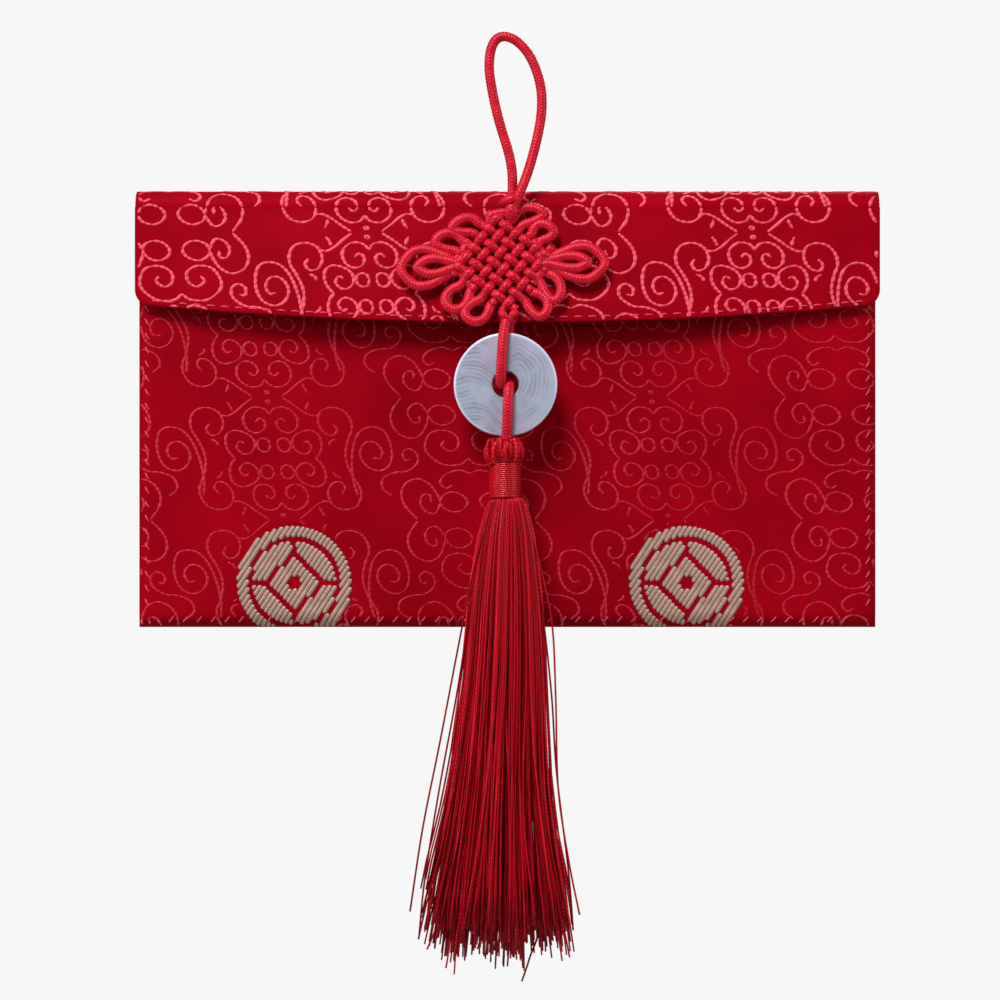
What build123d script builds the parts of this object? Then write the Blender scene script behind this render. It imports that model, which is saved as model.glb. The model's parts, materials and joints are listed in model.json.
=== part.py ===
from build123d import *
import math
import os

# A brocade gift-money envelope that hangs from a cord loop: a lined pocket, a fold-over flap, a woven cord knot
# on the flap, and a stone disc and thread tassel below it. Millimetres, +Z up, the face towards -Y, and the
# origin on the inside of the hanging loop's crown, where a hook bears.

# Pocket
envelope_width = 190.0
envelope_height = 112.3
pocket_depth = 7.2
crease_drop = 37.7  # from the origin down to the top of the fold
gusset_bulge = 2.2
bottom_bulge = 1.8
mouth_drop = 3.0
gusset_thickness = 0.6
crease_thickness = 0.6

# Layers of each wall
brocade_thickness = 0.4
board_thickness = 0.6
lining_thickness = 0.2
board_inset = 1.2
lining_inset = 0.6

# Flap
flap_width = 191.0
flap_end_reach = 29.5
flap_middle_reach = 34.4
flap_bow = 5.0
crease_bow = 0.05
flap_corner_radius = 4.0
flap_clearance = 0.6
flap_layer_gap = 0.1
flap_overrun = 2.0

# Stitches
stitch_pitch = 3.6
stitch_length = 2.2
stitch_width = 0.6
stitch_rise = 0.25
stitch_margin = 1.4
stitch_slant = 55.0
stitch_gap = 0.05
hem_break = 7.0  # half the stretch of hem that the knot covers

# Knot, whose cord is drawn thinner in the weave than where it hangs free
cord_diameter = 2.2
woven_diameter = 1.8
strand_pitch = 3.1
strand_count = 6
crossing_clearance = 0.2
lead_length = 3.0
ear_flare = 20.0
ear_flare_radius = 6.0
corner_ear_radius = 4.8
knot_gap = 0.3
knot_reach = 29.9  # from the neck knot to the tail knot, along the flap
neck_radius = 2.0
tail_radius = 1.9
leg_spread = 1.0
loop_spread = 1.25
leg_reach_share = 0.9
neck_x = 0.4
tail_x = 0.0
tack_diameter = 0.5

# Clearance between pieces that turn against each other
turning_gap = 0.3

# Disc and its two cords
disc_diameter = 26.4
disc_hole_diameter = 6.6
disc_thickness = 2.6
disc_rounding = 0.9
disc_x = -0.5
disc_drop = 88.0  # from the origin down to the hole's centre
disc_cord_gap = 0.25
cord_start_spread = 1.3

# Tassel
crown_radius = 5.4
crown_skirt = 0.8
core_radius = 3.4
binding_height = 9.2
thread_diameter = 0.55
binding_turns = 8
binding_gap = 0.05
tassel_x = -0.6
skirt_length = 110.0
skirt_ragged = 4.0
skirt_strands = 320
skirt_top = (5.0, 3.6)
skirt_bottom = (19.5, 8.6)
skirt_lean = -2.6
collar_height = 1.2
collar_margin = 0.4
strand_top_radius = 0.15
strand_bottom_radius = 0.36
golden_angle = 137.508
ragged_step = 97.0

# Places worked out from the dimensions above
wall = brocade_thickness + board_thickness + lining_thickness
cord_radius = cord_diameter / 2
crossing_rise = (woven_diameter + crossing_clearance) / 2
knot_rise = crossing_rise + woven_diameter / 2 + knot_gap
top = -crease_drop
bottom = top - envelope_height
crease_radius = (pocket_depth + flap_clearance + wall) / 2
crease_height = top - crease_radius
flap_end = top - flap_end_reach
flap_middle = top - flap_middle_reach
flap_lean = math.atan(flap_bow / (crease_height - flap_middle))
flap_face = knot_rise * math.cos(flap_lean)
front_face = flap_face + wall + flap_clearance
pocket_middle = front_face + pocket_depth / 2
back_face = front_face + pocket_depth
crease_y = flap_face + crease_radius
mouth = crease_height - mouth_drop
panel_bottom = bottom + bottom_bulge
panel_half = envelope_width / 2 - gusset_bulge
flap_half = flap_width / 2

front_plane = Plane(origin=(0, front_face, 0), x_dir=(1, 0, 0), z_dir=(0, -1, 0))
flap_plane = Plane(
    origin=(0, flap_face, crease_height),
    x_dir=(1, 0, 0),
    z_dir=(0, -math.cos(flap_lean), math.sin(flap_lean)),
)
neck = flap_plane.from_local_coords((neck_x, 0, knot_rise))
tail = flap_plane.from_local_coords((tail_x, -knot_reach, knot_rise))
disc_centre = Vector(disc_x, tail.Y, -disc_drop)
crown_height = -disc_drop - disc_diameter / 2 - turning_gap - crown_radius
crown_centre = Vector(tassel_x, tail.Y, crown_height)

os.makedirs("parts", exist_ok=True)


def save(part, name):
    part.label = name
    export_step(part, f"parts/{name}.step")


def swept_cord(path, diameter):
    """A round section carried along the path of the active block."""
    wire = path.wire()
    with BuildSketch(Plane(origin=wire @ 0, z_dir=wire % 0)) as section:
        Circle(diameter / 2)
    sweep(section.sketch, path=wire)


# Pocket walls: each a cover, a board and a lining, from the outside in

def wall_layers(side, outer, inward, height):
    """Three sheets on one side of the pocket. inward is +1 or -1 along Y, and height is the wall's upper edge."""
    layers = (
        ("cover", 0, brocade_thickness, 0),
        ("board", brocade_thickness, board_thickness, board_inset),
        ("lining", brocade_thickness + board_thickness, lining_thickness, lining_inset),
    )
    for layer, depth, thickness, inset in layers:
        with BuildPart() as sheet:
            with BuildSketch(Plane.XZ.offset(-outer - inward * depth)):
                with Locations((0, (height + panel_bottom) / 2)):
                    Rectangle(2 * (panel_half - inset), height - panel_bottom - 2 * inset)
            extrude(amount=-inward * thickness)
        save(sheet.part, f"{side}_{layer}")


wall_layers("front", front_face, 1, mouth)
wall_layers("back", back_face, -1, crease_height)

# Gussets: bowed strips that close the sides and the bottom

def bowed_strip(edge, bulge):
    """A strip that bows out from the walls' edges. In the sketch, X points outwards and Y across the depth."""
    half = pocket_depth / 2
    radius = (half**2 + bulge**2) / (2 * bulge)
    inner = radius - gusset_thickness
    centre = edge + bulge - radius
    inner_half = math.sqrt(inner**2 - (edge - centre) ** 2)
    with BuildLine() as rim:
        ThreePointArc((edge, -half), (edge + bulge, 0), (edge, half))
        Line((edge, half), (edge, inner_half))
        ThreePointArc((edge, inner_half), (centre + inner, 0), (edge, -inner_half))
        Line((edge, -inner_half), (edge, -half))
    make_face(rim.edges())


for gusset_side, outward in (("left", -1), ("right", 1)):
    with BuildPart() as gusset:
        with BuildSketch(Plane(origin=(0, pocket_middle, panel_bottom), x_dir=(outward, 0, 0), z_dir=(0, 0, 1))):
            bowed_strip(panel_half, gusset_bulge)
        extrude(amount=mouth - panel_bottom)
    save(gusset.part, f"{gusset_side}_gusset")

with BuildPart() as bottom_gusset:
    with BuildSketch(Plane(origin=(0, pocket_middle, 0), x_dir=(0, 0, -1), z_dir=(1, 0, 0))):
        bowed_strip(-panel_bottom, bottom_bulge)
    extrude(amount=envelope_width / 2, both=True)
save(bottom_gusset.part, "bottom_gusset")

# Fold: the half-round of brocade between the back wall and the flap

with BuildPart() as crease_fold:
    with BuildSketch(Plane(origin=(0, crease_y, crease_height), x_dir=(0, 1, 0), z_dir=(1, 0, 0))):
        Circle(crease_radius)
        Circle(crease_radius - crease_thickness, mode=Mode.SUBTRACT)
        with Locations((0, -crease_radius / 2)):
            Rectangle(2 * crease_radius, crease_radius, mode=Mode.SUBTRACT)
    extrude(amount=envelope_width / 2, both=True)
save(crease_fold.part, "crease_fold")

# Flap: three bowed sheets, straight at the fold and bowed forwards at the free edge

flap_low = flap_middle - flap_overrun
flap_low_bow = flap_bow * (crease_height - flap_low) / (crease_height - flap_middle)


def flap_layer(name, depth, thickness, inset):
    near, far = flap_face + depth, flap_face + depth + thickness
    with BuildPart() as layer:
        for height, bow in ((crease_height, crease_bow), (flap_low, flap_low_bow)):
            with BuildSketch(Plane.XY.offset(height)):
                with BuildLine():
                    ThreePointArc((-flap_half, near), (0, near - bow), (flap_half, near))
                    Line((flap_half, near), (flap_half, far))
                    ThreePointArc((flap_half, far), (0, far - bow), (-flap_half, far))
                    Line((-flap_half, far), (-flap_half, near))
                make_face()
        loft(ruled=True)
        half = flap_half - inset
        with BuildSketch(front_plane) as outline:
            with BuildLine():
                Polyline((-half, flap_end + inset), (-half, crease_height - inset), (half, crease_height - inset),
                         (half, flap_end + inset))
                ThreePointArc((half, flap_end + inset), (0, flap_middle + inset), (-half, flap_end + inset))
            make_face()
            fillet(outline.vertices().group_by(Axis.Y)[0], flap_corner_radius)
        extrude(amount=2 * front_face + flap_low_bow, both=True, mode=Mode.INTERSECT)
    save(layer.part, name)


flap_layer("flap_cover", 0, brocade_thickness, 0)
flap_layer("flap_board", brocade_thickness + flap_layer_gap, board_thickness - 2 * flap_layer_gap, board_inset)
flap_layer("flap_lining", brocade_thickness + board_thickness, lining_thickness, lining_inset)

# Stitches: short bars of thread along the seams and hems

def stitch_row(name, place, across, along, turn):
    """A row of slanted stitches on the front wall, across by along of them."""
    with BuildPart() as stitches:
        with BuildSketch(front_plane):
            with Locations(place):
                with GridLocations(stitch_pitch, stitch_pitch, across, along):
                    SlotOverall(stitch_length, stitch_width, rotation=turn)
        extrude(amount=stitch_rise)
    save(stitches.part, name)


side_count = int((mouth - panel_bottom) / stitch_pitch) - 1
row_count = int(2 * panel_half / stitch_pitch) - 1
side_height = (mouth + panel_bottom) / 2
seam_x = panel_half - stitch_margin
stitch_row("left_seam_stitches", (-seam_x, side_height), 1, side_count, -stitch_slant)
stitch_row("right_seam_stitches", (seam_x, side_height), 1, side_count, stitch_slant)
stitch_row("bottom_seam_stitches", (0, panel_bottom + stitch_margin), row_count - 1, 1, stitch_slant)
stitch_row("mouth_hem_stitches", (0, mouth - stitch_margin), row_count - 1, 1, 0)

with BuildPart() as flap_hem_stitches:
    hem_count = int(flap_half / stitch_pitch) - 1
    hem_places = []
    for step in range(-hem_count, hem_count + 1):
        x = step * stitch_pitch
        if abs(x) < hem_break:
            continue
        share = 1 - (x / flap_half) ** 2
        z = flap_end + (flap_middle - flap_end) * share + stitch_margin
        y = flap_face - flap_bow * share * (crease_height - z) / (crease_height - flap_middle)
        swing = math.degrees(math.atan(2 * flap_bow * x / flap_half**2))
        hem_places.append(Location((x, y - stitch_width / 2 - stitch_gap, z), (0, 0, swing)))
    with Locations(*hem_places):
        Cylinder(stitch_width / 2, stitch_length, rotation=(0, 90, 0))
save(flap_hem_stitches.part, "flap_hem_stitches")

# Knot: two sets of strands woven over and under on the diagonals, with an ear round each pair of strand ends

knot_plane = Plane(
    origin=flap_plane.from_local_coords(((neck_x + tail_x) / 2, -knot_reach / 2, knot_rise)),
    x_dir=(1, 0, 0),
    z_dir=flap_plane.z_dir,
)
diagonal = math.sqrt(1 / 2)
falling = (diagonal, -diagonal)
rising = (diagonal, diagonal)
last_offset = strand_pitch * (strand_count - 1) / 2
offsets = [strand_pitch * step - last_offset for step in range(strand_count)]


def knot_point(along, across, run, rise):
    """A point of the knot: run is a direction in the knot's plane, and across is measured to its left."""
    return knot_plane.from_local_coords(
        (along * run[0] - across * run[1], along * run[1] + across * run[0], rise)
    )


def knot_direction(run):
    return knot_point(1, 0, run, 0) - knot_plane.origin


def weave_path(points, direction):
    """S-bends of two arcs each through the points, level at every point."""
    for here, there in zip(points, points[1:]):
        halfway = (here + there) / 2
        first = TangentArc(here, halfway, tangent=direction)
        TangentArc(halfway, there, tangent=first % 1)


def strand(number, run, start, end):
    """One strand along run. start and end place the legs that it turns into, or are None where an ear follows."""
    rises = [crossing_rise * (-1) ** (number + step) for step in range(strand_count)]
    points = [knot_point(along, offsets[number], run, rise) for along, rise in zip(offsets, rises)]
    direction = knot_direction(run)
    with BuildLine() as path:
        if start is None:
            points.insert(0, knot_point(-last_offset - lead_length, offsets[number], run, 0))
        else:
            leg = start(rises[0])
            chord = (points[0] - leg).normalized()
            TangentArc(leg, points[0], tangent=chord * (2 * chord.dot(direction)) - direction)
        if end is None:
            points.append(knot_point(last_offset + lead_length, offsets[number], run, 0))
        weave_path(points, direction)
        if end is not None:
            TangentArc(points[-1], end(rises[-1]), tangent=direction)
    swept_cord(path, woven_diameter)


def leg_end(side, reach):
    """The place a leg turns to, beside the middle line and just short of the neck or tail knot."""
    corner = math.sqrt(2) * last_offset
    height = math.copysign(corner + (abs(reach) - corner) * leg_reach_share, reach)
    return lambda rise: knot_plane.from_local_coords((side * leg_spread, height, rise))


def clear_small_knots():
    with Locations(neck):
        Sphere(neck_radius + stitch_gap, mode=Mode.SUBTRACT)
    with Locations(tail):
        Sphere(tail_radius + turning_gap, mode=Mode.SUBTRACT)


half_reach = knot_reach / 2
last = strand_count - 1

with BuildPart() as falling_strands:
    for number in range(strand_count):
        strand(number, falling,
               leg_end(-1, half_reach) if number == last else None,
               leg_end(1, -half_reach) if number == 0 else None)
    clear_small_knots()
save(falling_strands.part, "knot_falling_strands")

with BuildPart() as rising_strands:
    for number in range(strand_count):
        strand(number, rising,
               leg_end(-1, -half_reach) if number == 0 else None,
               leg_end(1, half_reach) if number == last else None)
    clear_small_knots()
save(rising_strands.part, "knot_rising_strands")


def ear(run, across):
    """A loop past the weave that joins two neighbouring strands: out, round and back in four tangent arcs."""
    half = strand_pitch / 2
    turn = math.radians(ear_flare)
    spread = ear_flare_radius * (1 - math.cos(turn))
    round_radius = (half + spread) / math.cos(turn)
    root = last_offset + lead_length
    flare = root + ear_flare_radius * math.sin(turn)
    tip = flare + round_radius * (1 + math.sin(turn))
    places = (
        (root, across - half),
        (flare, across - half - spread),
        (tip, across),
        (flare, across + half + spread),
        (root, across + half),
    )
    points = [knot_point(along, side, run, 0) for along, side in places]
    direction = knot_direction(run)
    with BuildLine() as path:
        for here, there in zip(points, points[1:]):
            arc = TangentArc(here, there, tangent=direction)
            direction = arc % 1
    swept_cord(path, woven_diameter)


ear_runs = [(side * run[0], side * run[1]) for run in (falling, rising) for side in (-1, 1)]

with BuildPart() as knot_side_ears:
    for run in ear_runs:
        for first_strand in range(1, last - 1, 2):
            ear(run, offsets[first_strand] + strand_pitch / 2)
save(knot_side_ears.part, "knot_side_ears")

for ear_side, outward in (("left", -1), ("right", 1)):
    with BuildPart() as corner_ear:
        corner = math.sqrt(2) * last_offset
        upper_lead = knot_plane.from_local_coords(
            (outward * (corner + lead_length * diagonal), lead_length * diagonal, 0))
        upper = knot_plane.from_local_coords(
            (outward * (corner + corner_ear_radius * diagonal), corner_ear_radius * diagonal, 0))
        tip = knot_plane.from_local_coords((outward * (corner + corner_ear_radius * (1 + math.sqrt(2))), 0, 0))
        lower = knot_plane.from_local_coords(
            (outward * (corner + corner_ear_radius * diagonal), -corner_ear_radius * diagonal, 0))
        lower_lead = knot_plane.from_local_coords(
            (outward * (corner + lead_length * diagonal), -lead_length * diagonal, 0))
        with BuildLine() as ear_path:
            Line(upper_lead, upper)
            upper_arc = TangentArc(upper, tip, tangent=upper - upper_lead)
            TangentArc(tip, lower, tangent=upper_arc % 1)
            Line(lower, lower_lead)
        swept_cord(ear_path, woven_diameter)
    save(corner_ear.part, f"{ear_side}_corner_ear")

with BuildPart() as neck_knot:
    with Locations(neck):
        Sphere(neck_radius)
save(neck_knot.part, "neck_knot")

with BuildPart() as tail_knot:
    with Locations(tail):
        Sphere(tail_radius)
save(tail_knot.part, "tail_knot")

# Tacks: threads that sew the corner ears down to the flap

with BuildPart() as knot_tacks:
    tack_x = math.sqrt(2) * last_offset + corner_ear_radius * (1 + math.sqrt(2))
    tack_length = knot_rise - woven_diameter / 2 - 2 * stitch_gap
    with BuildSketch(Plane(origin=knot_plane.origin, x_dir=(1, 0, 0), z_dir=knot_plane.z_dir).offset(
            stitch_gap - knot_rise)):
        with GridLocations(2 * tack_x, 0, 2, 1):
            Circle(tack_diameter / 2)
    extrude(amount=tack_length)
save(knot_tacks.part, "knot_tack_stitches")

# Cords that hang free: hand-placed routes with arcs as large as their runs allow

def route_radii(name, points):
    """Corner radii of a route, each 0.45 of the shorter run over the tangent of half the turn."""
    run_share = 0.45
    runs = [there - here for here, there in zip(points, points[1:])]
    radii = []
    for before, after in zip(runs, runs[1:]):
        half_turn = math.radians(before.get_angle(after)) / 2
        radii.append(run_share * min(before.length, after.length) / math.tan(half_turn))
    print(name, "radii", [round(radius, 1) for radius in radii])
    return radii


def free_cord(name, points):
    with BuildLine() as path:
        FilletPolyline(*points, radius=route_radii(name, points))
    swept_cord(path, cord_diameter)
    length = path.wire().length
    section = math.pi * cord_radius**2
    print(name, "length", round(length, 1), "section times length", round(section * length, 1),
          "crown", round(path.wire().bounding_box().max.Z - cord_radius, 2))


loop_start = Vector(neck_x - loop_spread, 0, neck.Z + loop_spread)
loop_end = Vector(neck_x + loop_spread, 0, neck.Z + loop_spread)
loop_route = [
    loop_start,
    Vector(-0.4, 0, -32.6),
    Vector(-2.1, 0, -23.0),
    Vector(-4.2, 0, -13.9),
    Vector(-5.1, 0, -6.4),
    Vector(-3.9, 0, -1.2),
    Vector(-1.3, 0, 1.2),
    Vector(2.9, 0, 0.95),
    Vector(6.5, 0, -2.3),
    Vector(9.0, 0, -9.5),
    Vector(9.0, 0, -18.5),
    Vector(7.0, 0, -27.4),
    Vector(3.9, 0, -35.2),
    loop_end,
]

with BuildPart() as hanging_loop:
    free_cord("hanging_loop", loop_route)
    with Locations(neck):
        Sphere(neck_radius + turning_gap, mode=Mode.SUBTRACT)
save(hanging_loop.part, "hanging_loop")

# Each disc cord runs down one face, through the hole and down the other face
cord_stand = disc_thickness / 2 + disc_cord_gap + cord_radius
disc_cords = (
    ("front_cord", -1, (-0.4, -1.1, -1.75, -1.75, -1.3, -0.9)),
    ("back_cord", 1, (0.4, 0.6, 0.75, 0.75, 0.2, -0.2)),
)
cord_heights = (tail.Z - tail_radius, -75.0, -disc_drop, -disc_drop, -100.0, crown_height + crown_radius / 2)

for cord_name, face, xs in disc_cords:
    stand = face * cord_stand
    depths = (face * cord_start_spread, stand, stand, -stand, -stand, -face * cord_start_spread)
    cord_route = [Vector(x, tail.Y + depth, z) for x, depth, z in zip(xs, depths, cord_heights)]
    with BuildPart() as disc_cord:
        free_cord(cord_name, cord_route)
        with Locations(tail):
            Sphere(tail_radius + stitch_gap, mode=Mode.SUBTRACT)
        with Locations(crown_centre):
            Sphere(crown_radius + turning_gap, mode=Mode.SUBTRACT)
    save(disc_cord.part, cord_name)

with BuildPart() as disc:
    with BuildSketch(Plane(origin=disc_centre, x_dir=(1, 0, 0), z_dir=(0, -1, 0))):
        Circle(disc_diameter / 2)
        Circle(disc_hole_diameter / 2, mode=Mode.SUBTRACT)
    extrude(amount=disc_thickness / 2, both=True)
    fillet(disc.edges().filter_by(GeomType.CIRCLE), disc_rounding)
save(disc.part, "disc")

# Tassel: a crown of folded threads, a bound neck and a skirt of strands

crown_base = crown_height - crown_skirt
binding_base = crown_base - binding_height

with BuildPart() as tassel_crown:
    with Locations(crown_centre):
        Sphere(crown_radius)
    split(bisect_by=Plane.XY.offset(crown_base), keep=Keep.TOP)
save(tassel_crown.part, "tassel_crown")

with BuildPart() as tassel_core:
    with BuildSketch(Plane(origin=(tassel_x, tail.Y, binding_base), z_dir=(0, 0, 1))):
        Circle(core_radius)
    extrude(amount=binding_height)
save(tassel_core.part, "tassel_core")


def binding_point(turns):
    angle = 2 * math.pi * turns
    return Vector(
        tassel_x + wind_radius * math.cos(angle),
        tail.Y + wind_radius * math.sin(angle),
        wind_base + wind_pitch * turns,
    )


def binding_direction(turns):
    angle = 2 * math.pi * turns
    rise = wind_pitch / (2 * math.pi * wind_radius)
    return Vector(-math.sin(angle), math.cos(angle), rise).normalized()


def biarc(start, start_direction, end, end_direction):
    """Two tangent arcs from start to end, with equal reach along both end directions."""
    gap = end - start
    both = start_direction + end_direction
    square = 2 * (1 - start_direction.dot(end_direction))
    reach = (math.sqrt(gap.dot(both) ** 2 + square * gap.dot(gap)) - gap.dot(both)) / square
    joint = (start + start_direction * reach + end - end_direction * reach) / 2
    first = TangentArc(start, joint, tangent=start_direction)
    TangentArc(joint, end, tangent=first % 1)


wind_radius = core_radius + binding_gap + thread_diameter / 2
wind_pitch = (binding_height - 2 * thread_diameter) / binding_turns
wind_base = binding_base + thread_diameter
quarters = 4 * binding_turns

with BuildPart() as tassel_binding:
    with BuildLine() as winding:
        Line(binding_point(0) - binding_direction(0) * thread_diameter, binding_point(0))
        for quarter in range(quarters):
            here, there = quarter / 4, (quarter + 1) / 4
            biarc(binding_point(here), binding_direction(here), binding_point(there), binding_direction(there))
        wound_end = binding_point(binding_turns)
        Line(wound_end, wound_end + binding_direction(binding_turns) * thread_diameter)
    swept_cord(winding, thread_diameter)
save(tassel_binding.part, "tassel_binding")

samples_per_turn = 24
winding_points = [binding_point(step / samples_per_turn) for step in range(binding_turns * samples_per_turn)]
least_gap = min(
    (winding_points[there] - winding_points[here]).length - thread_diameter
    for here in range(len(winding_points))
    for there in range(here + samples_per_turn // 2, len(winding_points))
)
print("tassel_binding least gap to itself", round(least_gap, 3))

# Skirt: strands spread from a collar under the binding in a sunflower pattern, so that none cross

collar_base = binding_base - collar_height


def skirt_strand(number):
    spread = math.sqrt((number + 0.5) / skirt_strands)
    angle = math.radians(number * golden_angle)
    across, deep = spread * math.cos(angle), spread * math.sin(angle)
    end = collar_base - skirt_length + skirt_ragged * math.sin(math.radians(number * ragged_step))
    top_place = (tassel_x + skirt_top[0] * across, tail.Y + skirt_top[1] * deep, collar_base + collar_height / 2)
    end_place = (tassel_x + skirt_lean + skirt_bottom[0] * across, tail.Y + skirt_bottom[1] * deep, end)
    sections = [
        Plane(origin=place) * RegularPolygon(radius, 3)
        for place, radius in ((top_place, strand_top_radius), (end_place, strand_bottom_radius))
    ]
    return loft(sections, ruled=True)


strands = [skirt_strand(number) for number in range(skirt_strands)]

with BuildPart() as tassel_skirt:
    with BuildSketch(Plane(origin=(tassel_x, tail.Y, collar_base), z_dir=(0, 0, 1))):
        Ellipse(skirt_top[0] + collar_margin, skirt_top[1] + collar_margin)
    extrude(amount=collar_height)
    add(strands)
save(tassel_skirt.part, "tassel_skirt")
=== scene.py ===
import json
import math
from itertools import product

import bpy
import numpy as np
from bpy.props import FloatProperty, FloatVectorProperty, IntProperty, PointerProperty
from bpy.types import Operator, Panel, PropertyGroup
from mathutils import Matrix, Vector


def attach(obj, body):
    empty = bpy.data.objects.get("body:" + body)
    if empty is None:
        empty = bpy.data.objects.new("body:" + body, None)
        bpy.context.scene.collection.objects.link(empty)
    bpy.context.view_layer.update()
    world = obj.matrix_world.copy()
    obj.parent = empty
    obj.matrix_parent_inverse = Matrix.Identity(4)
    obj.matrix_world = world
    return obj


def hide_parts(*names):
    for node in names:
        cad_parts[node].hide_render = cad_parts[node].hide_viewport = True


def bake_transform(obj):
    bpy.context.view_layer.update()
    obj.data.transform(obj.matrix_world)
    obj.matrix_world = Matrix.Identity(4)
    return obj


bl_info = {
    "name": "Brocade gift envelope",
    "version": (1, 0, 0),
    "blender": (4, 5, 0),
    "location": "View3D > Sidebar > Envelope",
    "description": "Dresses a brocade gift-money envelope with its scrolls, knot, disc and tassel",
    "category": "Object",
}

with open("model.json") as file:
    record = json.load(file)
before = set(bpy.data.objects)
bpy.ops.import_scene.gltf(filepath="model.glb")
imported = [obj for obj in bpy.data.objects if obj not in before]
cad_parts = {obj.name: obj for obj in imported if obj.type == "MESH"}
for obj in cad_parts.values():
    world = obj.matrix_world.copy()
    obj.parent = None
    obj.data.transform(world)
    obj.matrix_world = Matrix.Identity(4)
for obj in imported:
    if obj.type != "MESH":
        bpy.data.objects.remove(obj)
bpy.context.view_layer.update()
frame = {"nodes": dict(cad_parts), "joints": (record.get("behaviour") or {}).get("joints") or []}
TURN = 2 * math.pi

# Axes along X, Y and Z
EAST, DEEP, HIGH = np.eye(3)

# Sizes that repeat the part's own, in millimetres
MM = 0.001
JOINTS = {joint["name"]: np.array(joint["pos_m"]) / MM for joint in frame["joints"]}
CREASE_Y, CREASE_Z = JOINTS["flap_fold"][1:]
TAIL, NECK, CROWN, DISC = (
    JOINTS[name] for name in ("pendant_swing", "loop_bend", "tassel_drop", "disc_turn"))
CREASE_RADIUS = 4.5
FRONT_Y, BACK_Y = 3.97, 11.17
HALF_DEPTH = 3.6
HALF_WIDTH, PANEL_HALF, FLAT_HALF = 95.0, 92.8, 90.6
MOUTH_Z, FLAT_FOOT, PANEL_BOTTOM, BOTTOM_Z = -45.2, -145.9, -148.2, -150.0
FOLD_OVERHANG, PROUD = 0.3, 0.05
FLAP_HALF, FLAP_FACE, FLAP_CORNER = 95.5, 2.17, 4.0
FLAP_END, FLAP_MIDDLE, FLAP_BOW = 25.0, 29.9, 5.0
FLAP_LEAN = math.atan(FLAP_BOW / FLAP_MIDDLE)


def measure(name, description, default):
    """A property that holds one number."""
    return FloatProperty(name=name, description=description, default=default)


class EnvelopeSizes(PropertyGroup):
    """Sizes that a user would change, in millimetres."""

    line_width: measure("Scroll width", "Width of a scroll line on the flap", 0.98)
    line_height: measure("Scroll height", "How far a scroll line stands proud", 0.22)
    repeat_x: measure("Repeat across", "Width of the scroll pattern's repeat", 98.7)
    repeat_z: measure("Repeat down", "Height of the scroll pattern's repeat", 31.6)
    skew: measure("Skew", "How far the weave leans sideways for each unit down", 0.14)
    cord: measure("Cord", "Diameter of the satin cord", 2.5)
    medallion: measure("Medallion", "Radius of a gold medallion", 14.7)
    stitch_pitch: measure("Stitch pitch", "From one seam stitch to the next", 3.6)
    strands: IntProperty(name="Strands", description="Threads in the tassel's skirt", default=900)


def tint(name, description, *default):
    """A property that holds a colour."""
    return FloatVectorProperty(name=name, description=description, subtype="COLOR", default=default)


class EnvelopeColours(PropertyGroup):
    """Colours that a user would change, as linear values."""

    ground: tint("Ground", "Brocade between the scrolls", 0.325, 0.0006, 0.0075)
    # The flap's scroll colour is the line colour painted lit; the pocket's is the same colour painted shaded.
    scroll: tint("Flap scrolls", "Raised lines where they face the light", 0.86, 0.092, 0.142)
    scroll_painted_shade: tint("Pocket scrolls", "Raised lines on the pocket", 0.50, 0.022, 0.042)
    lining: tint("Lining", "Plain cloth inside", 0.26, 0.006, 0.014)
    board: tint("Board", "Stiffening board", 0.36, 0.29, 0.20)
    thread: tint("Stitches", "Seam thread", 0.72, 0.060, 0.100)
    cord: tint("Cord", "Satin cord", 0.66, 0.006, 0.027)
    gold: tint("Gold", "Medallion threads", 0.50, 0.31, 0.245)
    disc: tint("Disc", "Pale stone", 0.395, 0.43, 0.545)
    tassel: tint("Tassel", "Tassel thread", 0.50, 0.002, 0.010)
    floor: tint("Floor", "Floor and backdrop", 0.80, 0.80, 0.80)


def sizes():
    return bpy.context.scene.envelope_sizes


def colours():
    return bpy.context.scene.envelope_colours


def add_node(tree, kind, settings=None, inputs=None):
    """A new shader node. Its settings come first, and then its sockets get their values or links."""
    node = tree.nodes.new(kind)
    for key, value in (settings or {}).items():
        setattr(node, key, value)
    for key, value in (inputs or {}).items():
        if isinstance(value, Shade):
            tree.links.new(value.socket, node.inputs[key])
        else:
            node.inputs[key].default_value = value
    return node


class Shade:
    """A shader value that takes part in Python arithmetic."""

    def __init__(self, tree, socket):
        self.tree, self.socket = tree, socket

    def maths(self, operation, *values):
        node = add_node(self.tree, "ShaderNodeMath", {"operation": operation}, dict(enumerate(values)))
        return Shade(self.tree, node.outputs[0])

    def __add__(self, other):
        return self.maths("ADD", self, other)

    def __radd__(self, other):
        return self.maths("ADD", other, self)

    def __sub__(self, other):
        return self.maths("SUBTRACT", self, other)

    def __rsub__(self, other):
        return self.maths("SUBTRACT", other, self)

    def __mul__(self, other):
        return self.maths("MULTIPLY", self, other)

    def __rmul__(self, other):
        return self.maths("MULTIPLY", other, self)

    def __truediv__(self, other):
        return self.maths("DIVIDE", self, other)

    def __pow__(self, other):
        return self.maths("POWER", self, other)

    def sine(self):
        return self.maths("SINE", self)

    def wave(self):
        """The sine, moved to go from 0 to 1."""
        return self.sine() * 0.5 + 0.5

    def size(self):
        return self.maths("ABSOLUTE", self)

    def clear(self, low, high):
        """0 below low, 1 above high and smooth between."""
        settings = {"interpolation_type": "SMOOTHSTEP"}
        node = add_node(self.tree, "ShaderNodeMapRange", settings, {0: self, 1: low, 2: high})
        return Shade(self.tree, node.outputs[0])


def scaled(colour, factor):
    """A colour times a factor, held below white."""
    return tuple(min(1.0, c * factor) for c in colour)


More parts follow.
